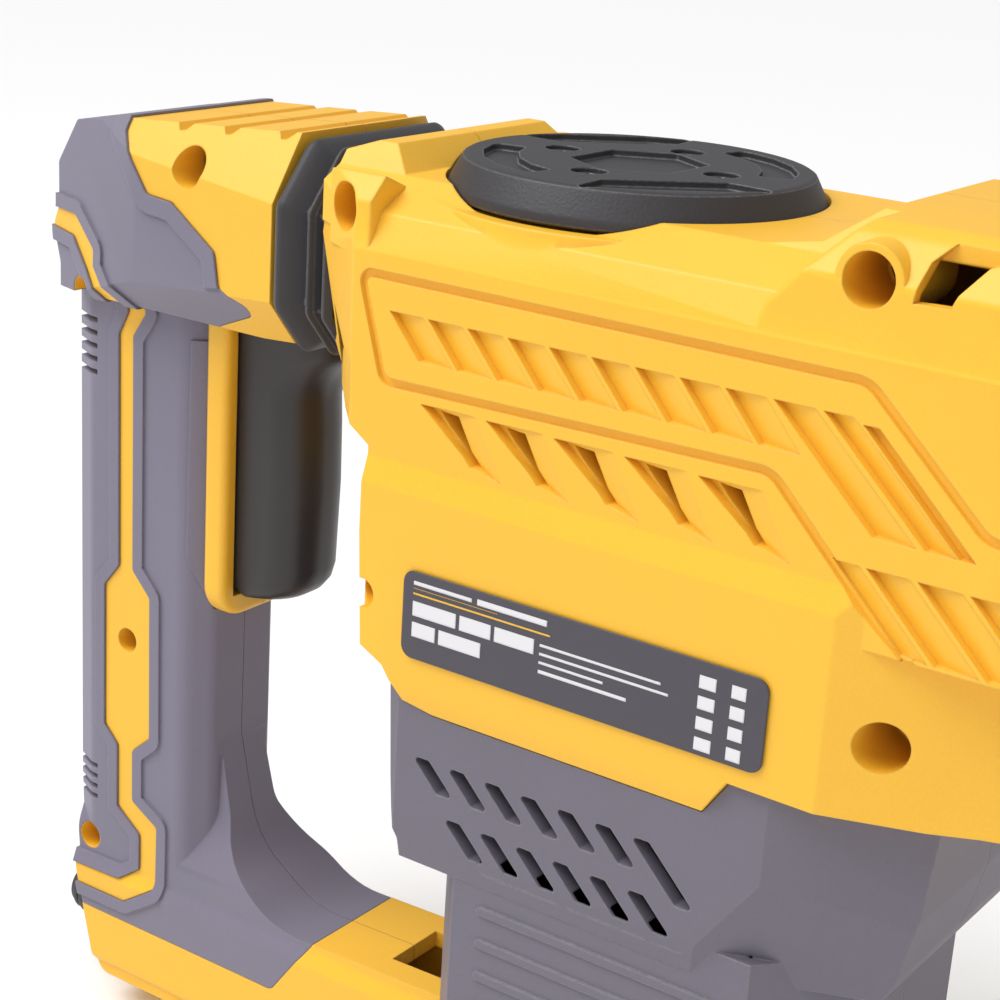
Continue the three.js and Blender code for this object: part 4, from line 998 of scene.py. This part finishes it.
def build_handle(materials):
    """A hollow hard shell and the soft skin that fills its cut-outs, each with a twin on the left."""
    hull = handle_hull(0.7)
    soften(hull, 1.6, 3, 26)
    cut(hull, grey_zone(0.12))
    surround = trigger_frame(0)
    soften(surround, 2.2, 4, 50)
    join(hull, surround)
    cut(hull, *arm_grooves())
    core = handle_hull(3.4)
    join(hull, core)
    cut(hull, handle_hull(5.4))
    cut(hull, block(-117, -105, -16, 16, 225, 255),
        trigger_pocket(0, 12.6),
        block(PIVOT.x - 12, -50, -9.6, 9.6, 0, 60),
        rod("y", 4.3, -40, 40, (PIVOT.x, 0, PIVOT.z), 32),
        rod("x", 9.3, GRIP_REAR - 5, -178, (0, 0, 22), 32))
    meet(hull, right_side())
    sockets = [rod("y", radius + 2, -40, floor + 4, (x, 0, z), 32) for x, z, radius, floor in HANDLE_SCREWS]
    boss = meet(join(*sockets), handle_hull(0.9))
    join(hull, boss)
    for x, z, radius, floor in HANDLE_SCREWS:
        cut(hull, rod("y", radius, -60, floor, (x, 0, z), 36))

    skin = handle_skin()
    cut(skin, handle_hull(3.45), trigger_frame(0.15))
    meet(skin, grey_zone(0))
    meet(skin, right_side())
    cut(skin, trigger_pocket(0.4, 13), rod("x", 9.3, GRIP_REAR - 5, -178, (0, 0, 22), 32),
        *[rod("y", radius + 0.2, -60, floor, (x, 0, z), 36) for x, z, radius, floor in HANDLE_SCREWS])
    cut(skin, *skin_ribs())
    soften(skin, 0.5, 2, 50)

    put_pair(hull, "handle", "rear_handle", materials, "yellow_plastic", "handle_shell")
    put_pair(skin, "grip_skin", "rear_handle", materials, "grip_rubber", "grip_cover")
    for side, sign in SIDES:
        for i, (x, z, radius, floor) in enumerate(HANDLE_SCREWS):
            screw_head(f"handle_screw_{side}_{i + 1}", (x, 0, z), sign, floor, materials, "rear_handle",
                       radius - 0.7)


def skin_ribs():
    """Short grooves across the rear of the grip, above and below the stripe."""
    heights = [190 + 3.6 * i for i in range(5)] + [64 + 3.2 * i for i in range(4)]
    return [block(-199, -186.5, -30, -11.5, z, z + 1.5) for z in heights]


# ------------------------------------------------------------ trigger
TRIGGER_SIDE = [
    (-155.5, 140.5), (-141, 140), (-138.5, 137.3, 3), (-110, 137.3), (-110, 207), (-112.2, 211),
    (-113.4, 217.5, 2), (-116, 221.5, 2), (-122.5, 221.5, 2), (-128, 213.4),
    (-146, 209.4), (-155.5, 206.4),
]
# height and how far forward the lever's front stands there
TRIGGER_FRONT = [
    (137.2, -131), (138.2, -126.8), (140, -124), (143, -121.6), (147, -120.4), (170, -119.6), (186, -119.9),
    (194, -120.3), (198, -119.4), (201, -117.6), (204, -114.8), (206.3, -112.0), (208, -111.2),
    (222, -111.2),
]


def build_trigger(materials):
    """The lever's front is fully rounded and flares forward at its top."""
    half_width = span("trigger")[1].y
    rings = []
    for z, front in TRIGGER_FRONT:
        half = half_width - max(0, 140.5 - z) * 0.45
        plan = rounded([(-155.5, -half), (front, -half, 10.5), (front, half, 10.5), (-155.5, half)], 10)
        rings.append([(x, y, z) for x, y in plan])
    trigger = loft("trigger_lever", rings, ends=True)
    meet(trigger, prism("y", rounded(TRIGGER_SIDE, 7), -20, 20))
    pin = middle("trigger_pin")
    cut(trigger, rod("y", 2.6, -40, 40, (pin.x, 0, pin.z), 32))
    put(trigger, "trigger_lever", materials["trigger_plastic"], "black_plastic", "trigger", angle=36)


# ------------------------------------------------------------ bellows
def loft(name, sections, ends=False):
    """A tube wall through rings of points, each ring extruded from the one before."""
    mesh = bmesh.new()
    first = [mesh.verts.new(Vector(point) * MM) for point in sections[0]]
    ring = [mesh.edges.new(pair) for pair in zip(first, first[1:] + first[:1])]
    verts = first
    for section in sections[1:]:
        grown = bmesh.ops.extrude_edge_only(mesh, edges=ring)["geom"]
        ring = [item for item in grown if isinstance(item, bmesh.types.BMEdge)
                and all(vert in grown for vert in item.verts)]
        ahead = {}
        for vert in verts:
            for edge in vert.link_edges:
                other = edge.other_vert(vert)
                if other in grown:
                    ahead[vert] = other
        verts = [ahead[vert] for vert in verts]
        for vert, point in zip(verts, section):
            vert.co = Vector(point) * MM
    if ends:
        bmesh.ops.holes_fill(mesh, edges=mesh.edges, sides=0)
        bmesh.ops.recalc_face_normals(mesh, faces=mesh.faces)
    return solid(name, mesh)


# how far along from the rear end, and how far inside the arm's own outline
BELLOWS_FOLDS = [
    (0, 1.2), (0.03, 0.2), (0.10, -0.9), (0.15, -1.3), (0.20, -1.0), (0.30, 0.4), (0.42, 2.4), (0.49, 3.6),
    (0.53, 3.8), (0.56, 3.2), (0.585, 0.2), (0.60, -0.4), (0.63, -0.5), (0.67, 0.3), (0.73, 2.4),
    (0.78, 3.6), (0.81, 3.6), (0.83, 2.8), (0.855, 0.1), (0.87, -0.5), (0.91, -0.7), (0.97, 0.2), (1, 0.8),
]


def build_bellows(materials, sizes):
    """A folded rubber tube between the housing and the handle."""
    low, high = span("bellows")
    rear, front = low.x, high.x
    outline = rounded([
        (-35, 226, 3), (-25, 214.5, 4), (25, 214.5, 4), (35, 226, 3), (35, 250, 3), (24, 263.5, 4),
        (-24, 263.5, 4), (-35, 250, 3)], 4)
    sections = []
    for share, depth in BELLOWS_FOLDS:
        ring = inward(outline, depth)
        sections.append([(rear + 0.1 + (front - rear - 0.2) * share, y, z) for y, z in ring])
    piece = loft("bellows_rubber", sections)
    wall = piece.modifiers.new("Wall", "SOLIDIFY")
    wall.thickness = sizes.bellows_wall
    wall.offset = -1
    bake(piece)
    shade(piece, materials["black_rubber"], 50)
    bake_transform(piece)
    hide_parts("bellows")


# ------------------------------------------------------------ cord gland
def build_gland(materials):
    """The cord's ribbed strain relief with its collar."""
    low, high = span("cord_gland")
    z = (low.z + high.z) / 2
    radius = (high.z - low.z) / 2 - 2
    profile = [(low.x, 4.1), (low.x, 6.2)]
    for i in range(4):
        x = low.x + 1.5 + i * 2.8
        r = 6.4 + i * 0.65
        profile += [(x, r), (x + 0.5, r + 0.9), (x + 1.6, r + 0.9), (x + 2.0, r + 0.2)]
    profile += [(low.x + 13, radius), (low.x + 13, radius + 1.6), (low.x + 13.4, radius + 2),
                (low.x + 15, radius + 2), (low.x + 15, radius), (high.x, radius), (high.x, 4.1)]
    gland = turned("x", profile, (0, 0, z), 48, "gland")
    put(gland, "rear_handle", materials["black_rubber"], "black_rubber", "cord_gland")


# ------------------------------------------------------------ nose, chuck and side handle
def build_nose(materials):
    """The nose flange with six screw heads' wells round it and the barrel."""
    low, high = span("nose_barrel")
    rear, front = low.x, high.x
    profile = [
        (rear, 19.3), (rear, 35.2), (rear + 0.8, 36), (rear + 13.2, 36), (rear + 14, 35.2), (rear + 15, 31),
        (rear + 16.5, 30), (front - 10, 30), (front - 9.4, 31.6), (front - 9, 32), (front - 4.4, 32),
        (front - 3.6, 31.4), (front - 0.6, 26.4), (front, 25.8), (front, 19.3),
    ]
    barrel = turned("x", profile, (0, 0, HAMMER_Z), 128, "nose_flange")
    for i in range(6):
        angle = math.radians(60 * i + 30)
        place = (0, 33.2 * math.cos(angle), HAMMER_Z + 33.2 * math.sin(angle))
        cut(barrel, rod("x", 2.0, rear + 9, rear + 20, place, 24))
    put(barrel, "casing", materials["dark_steel"], "dark_steel", "nose_barrel")


def build_chuck(materials, sizes):
    """The fluted lock sleeve and the stepped rubber seal in front of it."""
    low, high = span("lock_sleeve")
    rear, front, radius = low.x, high.x, high.y
    bore = 16.4
    profile = [
        (rear, bore), (rear, radius - 3), (rear + 1, radius - 1.6), (rear + 4, radius - 0.2),
        (rear + 6, radius), (rear + 11, radius), (rear + 14, radius - 1), (rear + 19, radius - 3),
        (front - 10, radius - 3.6), (front - 5, radius - 2.4), (front - 2.4, radius - 1.6),
        (front - 0.8, radius - 2), (front, radius - 3.2), (front, 20.5), (front - 18, 20.0),
        (front - 26, bore),
    ]
    sleeve = turned("x", profile, (0, 0, HAMMER_Z), 144, "sleeve")
    flutes = []
    for i in range(sizes.flutes):
        angle = math.tau * i / sizes.flutes
        place = (0, (radius + 0.9) * math.cos(angle), HAMMER_Z + (radius + 0.9) * math.sin(angle))
        flutes.append(rod("x", 2.3, rear + 17, front - 6, place, 20))
    cut(sleeve, *flutes)
    put(sleeve, "sleeve_unit", materials["black_plastic"], "black_plastic", "lock_sleeve")
    low, high = span("dust_cap")
    rear, front = low.x, high.x
    profile = [
        (rear, 16.4), (rear, 21.4), (rear + 0.6, 22), (rear + 2.6, 22), (rear + 3.2, 21), (rear + 4.4, 20.6),
        (rear + 5, 21.2), (rear + 7, 21), (rear + 7.6, 20), (front - 6, 19), (front - 2, 15.5),
        (front - 0.5, 12.8), (front, 12.2), (front, 10.2), (front - 0.6, 9.9), (rear + 13.1, 9.9),
        (rear + 13.1, 16.4),
    ]
    cap = turned("x", profile, (0, 0, HAMMER_Z), 96, "dust_seal")
    put(cap, "casing", materials["black_rubber"], "black_rubber", "dust_cap")


def build_side_handle(materials, sizes):
    """The clamp's steel band and base, and the grip with its rings."""
    low, high = span("side_handle_band")
    outer = high.z - HAMMER_Z
    inner = outer - 3
    x0, x1 = low.x, high.x
    profile = [(x0, inner + 0.1), (x0, outer - 0.7), (x0 + 0.7, outer), (x0 + 3, outer),
               (x0 + 3.6, outer - 0.9), (x1 - 3.6, outer - 0.9), (x1 - 3, outer), (x1 - 0.7, outer),
               (x1, outer - 0.7), (x1, inner + 0.1)]
    band = turned("x", profile, (0, 0, HAMMER_Z), 128, "clamp_band")
    put(band, "side_handle", materials["steel"], "steel", "side_handle_band")

    low, high = span("side_handle_base")
    y0, y1 = low.y, high.y
    flare = high.x - (low.x + high.x) / 2
    centre = ((low.x + high.x) / 2, 0, HAMMER_Z)
    profile = [(y0, 4.5), (y0, 11.4), (y0 + 0.6, 12), (y0 + 11, 13.2), (y0 + 14, 14.5), (y0 + 17, flare - 1),
               (y0 + 18, flare), (y1 - 0.8, flare), (y1, flare - 0.8), (y1, 4.5)]
    base = turned("y", profile, centre, 96, "clamp_base")
    for bottom in (HAMMER_Z + 10.5, HAMMER_Z - 20):
        cut(base, block(centre[0] - 30, centre[0] + 30, y0 - 1, y0 + 9, bottom, bottom + 9.5))
    put(base, "side_handle", materials["black_plastic"], "black_plastic", "side_handle_base")

    low, high = span("side_handle_grip")
    y0, y1 = low.y, high.y
    flange = (high.z - low.z) / 2
    body = flange - 4.6
    profile = [(y0, 4.3), (y0, flange - 1), (y0 + 1, flange), (y0 + 2.4, flange), (y0 + 3.4, flange - 1),
               (y0 + 8, body)]
    length = y1 - y0 - 30
    for i in range(sizes.grip_rings * 4 + 1):
        share = i / (sizes.grip_rings * 4)
        y = y0 + 12 + length * share
        belly = 1.7 * math.sin(math.pi * share)
        ridge = 0.45 * math.cos(math.tau * sizes.grip_rings * share)
        profile.append((y, body + belly + ridge))
    profile += [(y1 - 12, flange - 2.2), (y1 - 6, flange - 1), (y1 - 2.5, flange - 2),
                (y1 - 0.8, flange - 5), (y1, flange - 8), (y1, 0), (y0 + 33, 0), (y0 + 33, 4.3)]
    grip = turned("y", profile, centre, 80, "side_grip_rubber")
    put(grip, "side_grip", materials["grip_rubber"], "grip_rubber", "side_handle_grip", angle=45)


# ------------------------------------------------------------ frame nodes that stay
# by how a node's name starts; every other node is steel
SLOT_OF_INNER_PARTS = {
    "cap_screw_": "dark_steel", "gear_housing": "cast_alloy", "crank_gear": "dark_steel",
    "piston_seal": "black_rubber", "con_rod": "cast_alloy", "armature": "dark_steel",
    "commutator": "copper", "cooling_fan": "black_plastic", "stator": "dark_steel",
    "brush_holder_": "brass", "brush_": "carbon", "switch_unit": "black_plastic",
}


def dress_frame(materials):
    """Gives every frame node that still shows its finish."""
    slots = {}
    for entry in frame["record"].get("materials", []):
        for node in entry.get("nodes", []):
            slots[node] = entry["slot"]
    for name, node in frame["nodes"].items():
        slot = slots.get(name)
        if slot is None:
            starts = (kind for start, kind in SLOT_OF_INNER_PARTS.items() if name.startswith(start))
            slot = next(starts, "steel")
        node.data.materials.clear()
        node.data.materials.append(materials[slot])


# ------------------------------------------------------------ stage
def area_light(name, place, target, power, size):
    lamp = bpy.data.lights.new(name, "AREA")
    lamp.energy = power
    lamp.size = size
    light = add_object(name, lamp)
    light.location = place
    light.rotation_euler = (Vector(target) - Vector(place)).to_track_quat("-Z", "Y").to_euler()


def make_stage(sizes, colours):
    """A pale floor, soft studio light and the camera."""
    mesh = bmesh.new()
    bmesh.ops.create_grid(mesh, x_segments=1, y_segments=1, size=sizes.floor)
    floor = solid("floor", mesh)
    pale = bpy.data.materials.new("pale_floor")
    pale.use_nodes = True
    shader = pale.node_tree.nodes["Principled BSDF"]
    shader.inputs["Base Color"].default_value = (*colours.floor, 1)
    shader.inputs["Roughness"].default_value = 0.85
    floor.data.materials.append(pale)
    world = bpy.data.worlds.new("soft_sky")
    world.use_nodes = True
    sky = world.node_tree.nodes["Background"]
    sky.inputs["Color"].default_value = (1, 1, 1, 1)
    sky.inputs["Strength"].default_value = sizes.sky
    bpy.context.scene.world = world
    aim = (0, 0, 0.18)
    area_light("key", (-1.0, -0.7, 1.5), aim, sizes.key, 0.9)
    area_light("side", (0.9, -1.6, 0.9), aim, sizes.side, 1.0)
    sun = bpy.data.lights.new("window", "SUN")
    sun.energy = sizes.window
    sun.angle = math.radians(50)
    window = add_object("window", sun)
    window.rotation_euler = Vector((-0.35, -0.4, 1)).to_track_quat("Z", "Y").to_euler()
    camera = bpy.data.cameras.new("camera")
    camera.lens = 76.65
    camera.sensor_width = 36
    camera.clip_end = 60
    eye = add_object("camera", camera)
    right = Vector((0.81364, 0.57835, 0.05921))
    up = Vector((-0.22870, 0.22477, 0.94719))
    back = Vector((0.53450, -0.78421, 0.31515))
    turn = Matrix((right, up, back)).transposed().to_4x4()
    turn.translation = Vector((0.21456, -0.41052, 0.34477))
    eye.matrix_world = turn
    bpy.context.scene.camera = eye
    bpy.context.scene.view_settings.view_transform = "Standard"


# ------------------------------------------------------------ add-on
def colour(name, description, default):
    return bpy.props.FloatVectorProperty(name=name, description=description, default=default, size=3,
                                         min=0, max=1, subtype="COLOR")


class HammerColours(bpy.types.PropertyGroup):
    """Colours of the hammer's mouldings."""
    shell: colour("Shell", "Hard yellow shells", (0.92, 0.505, 0.035))
    cover: colour("Cover", "Grey motor cover", (0.155, 0.142, 0.18))
    grip: colour("Grip", "Soft grip rubber", (0.19, 0.174, 0.235))
    seal: colour("Seal", "Black rubber and crankcase cap", (0.037, 0.035, 0.04))
    plate: colour("Plate", "Rating plate", (0.062, 0.057, 0.072))
    trigger: colour("Trigger", "Trigger lever", (0.024, 0.021, 0.022))
    floor: colour("Floor", "Studio floor", (0.93, 0.93, 0.93))


def watts(name, description, default):
    return bpy.props.FloatProperty(name=name, description=description, default=default, min=0,
                                   subtype="POWER")


class HammerSizes(bpy.types.PropertyGroup):
    """Counts and sizes that the frame doesn't fix."""
    flutes: bpy.props.IntProperty(name="Sleeve flutes", description="Grooves round the lock sleeve",
                                  default=18, min=3, max=30)
    grip_rings: bpy.props.IntProperty(name="Grip rings", description="Rings along the side handle's grip",
                                      default=11, min=1, max=20)
    bellows_wall: bpy.props.FloatProperty(name="Bellows wall", default=1.8 * MM, min=0.5 * MM, max=3 * MM,
                                          description="Thickness of the bellows' rubber", unit="LENGTH")


class HammerStage(bpy.types.PropertyGroup):
    """Size and light of the studio."""
    floor: bpy.props.FloatProperty(name="Floor", description="Half the floor's width", default=14,
                                   unit="LENGTH")
    sky: bpy.props.FloatProperty(name="Sky", description="Strength of the even light", default=0.42, min=0)
    window: bpy.props.FloatProperty(name="Window", default=2.2, min=0,
                                    description="Strength of the wide light from the upper left")
    key: watts("Key light", "Power of the main light", 7)
    side: watts("Side light", "Power of the light from the right", 3)


MATERIALS = {}


def finishes(context):
    """The materials, made once."""
    if not MATERIALS:
        MATERIALS.update(make_materials(context.scene.hammer_colours))
    return MATERIALS


class HAMMER_OT_stage(bpy.types.Operator):
    """Make the floor, the light and the camera"""
    bl_idname = "hammer.stage"
    bl_label = "Stage"

    def execute(self, context):
        make_stage(context.scene.hammer_stage, context.scene.hammer_colours)
        return {"FINISHED"}


class HAMMER_OT_housing(bpy.types.Operator):
    """Make the two yellow housing shells and their screws"""
    bl_idname = "hammer.housing"
    bl_label = "Housing"

    def execute(self, context):
        build_housing(finishes(context))
        return {"FINISHED"}


class HAMMER_OT_cap(bpy.types.Operator):
    """Make the round cap over the crank"""
    bl_idname = "hammer.cap"
    bl_label = "Crankcase cap"

    def execute(self, context):
        build_cap(finishes(context))
        return {"FINISHED"}


class HAMMER_OT_plate(bpy.types.Operator):
    """Make the plate with its plain marks"""
    bl_idname = "hammer.plate"
    bl_label = "Rating plate"

    def execute(self, context):
        build_plate(finishes(context))
        return {"FINISHED"}


class HAMMER_OT_motor_cover(bpy.types.Operator):
    """Make the vented cover, foot and brush plugs"""
    bl_idname = "hammer.motor_cover"
    bl_label = "Motor cover"

    def execute(self, context):
        build_motor_cover(finishes(context))
        return {"FINISHED"}


class HAMMER_OT_handle(bpy.types.Operator):
    """Make the handle shells and their soft grip"""
    bl_idname = "hammer.handle"
    bl_label = "Rear handle"

    def execute(self, context):
        build_handle(finishes(context))
        return {"FINISHED"}


class HAMMER_OT_trigger(bpy.types.Operator):
    """Make the trigger lever"""
    bl_idname = "hammer.trigger"
    bl_label = "Trigger"

    def execute(self, context):
        build_trigger(finishes(context))
        return {"FINISHED"}


class HAMMER_OT_bellows(bpy.types.Operator):
    """Make the folded rubber seal of the handle"""
    bl_idname = "hammer.bellows"
    bl_label = "Bellows"

    def execute(self, context):
        build_bellows(finishes(context), context.scene.hammer_sizes)
        return {"FINISHED"}


class HAMMER_OT_gland(bpy.types.Operator):
    """Make the cord's strain relief"""
    bl_idname = "hammer.gland"
    bl_label = "Cord gland"

    def execute(self, context):
        build_gland(finishes(context))
        return {"FINISHED"}


class HAMMER_OT_nose(bpy.types.Operator):
    """Make the steel nose flange"""
    bl_idname = "hammer.nose"
    bl_label = "Nose"

    def execute(self, context):
        build_nose(finishes(context))
        return {"FINISHED"}


class HAMMER_OT_chuck(bpy.types.Operator):
    """Make the lock sleeve and dust seal"""
    bl_idname = "hammer.chuck"
    bl_label = "Chuck"

    def execute(self, context):
        build_chuck(finishes(context), context.scene.hammer_sizes)
        return {"FINISHED"}


class HAMMER_OT_side_handle(bpy.types.Operator):
    """Make the clamp and its grip"""
    bl_idname = "hammer.side_handle"
    bl_label = "Side handle"

    def execute(self, context):
        build_side_handle(finishes(context), context.scene.hammer_sizes)
        return {"FINISHED"}


class HAMMER_OT_inner_parts(bpy.types.Operator):
    """Give the frame's own parts their finish"""
    bl_idname = "hammer.inner_parts"
    bl_label = "Inner parts"

    def execute(self, context):
        dress_frame(finishes(context))
        return {"FINISHED"}


OPERATORS = [
    HAMMER_OT_stage, HAMMER_OT_housing, HAMMER_OT_cap, HAMMER_OT_plate, HAMMER_OT_motor_cover,
    HAMMER_OT_handle, HAMMER_OT_trigger, HAMMER_OT_bellows, HAMMER_OT_gland, HAMMER_OT_nose,
    HAMMER_OT_chuck, HAMMER_OT_side_handle, HAMMER_OT_inner_parts,
]
GROUPS = {"hammer_sizes": HammerSizes, "hammer_colours": HammerColours, "hammer_stage": HammerStage}


class HAMMER_PT_panel(bpy.types.Panel):
    """Lists the hammer's pieces, sizes and colours"""
    bl_label = "Demolition hammer"
    bl_space_type = "VIEW_3D"
    bl_region_type = "UI"
    bl_category = "Hammer"

    def draw(self, context):
        for name, group in GROUPS.items():
            for key in group.__annotations__:
                self.layout.prop(getattr(context.scene, name), key)
        for operator in OPERATORS:
            self.layout.operator(operator.bl_idname)


CLASSES = [*GROUPS.values(), *OPERATORS, HAMMER_PT_panel]


def register():
    for item in CLASSES:
        bpy.utils.register_class(item)
    for name, group in GROUPS.items():
        setattr(bpy.types.Scene, name, bpy.props.PointerProperty(type=group))


def unregister():
    for name in GROUPS:
        delattr(bpy.types.Scene, name)
    for item in reversed(CLASSES):
        bpy.utils.unregister_class(item)


def main():
    register()
    bpy.ops.hammer.stage()
    bpy.ops.hammer.housing()
    bpy.ops.hammer.cap()
    bpy.ops.hammer.plate()
    bpy.ops.hammer.motor_cover()
    bpy.ops.hammer.handle()
    bpy.ops.hammer.trigger()
    bpy.ops.hammer.bellows()
    bpy.ops.hammer.gland()
    bpy.ops.hammer.nose()
    bpy.ops.hammer.chuck()
    bpy.ops.hammer.side_handle()
    bpy.ops.hammer.inner_parts()


if __name__ == "__main__":
    main()
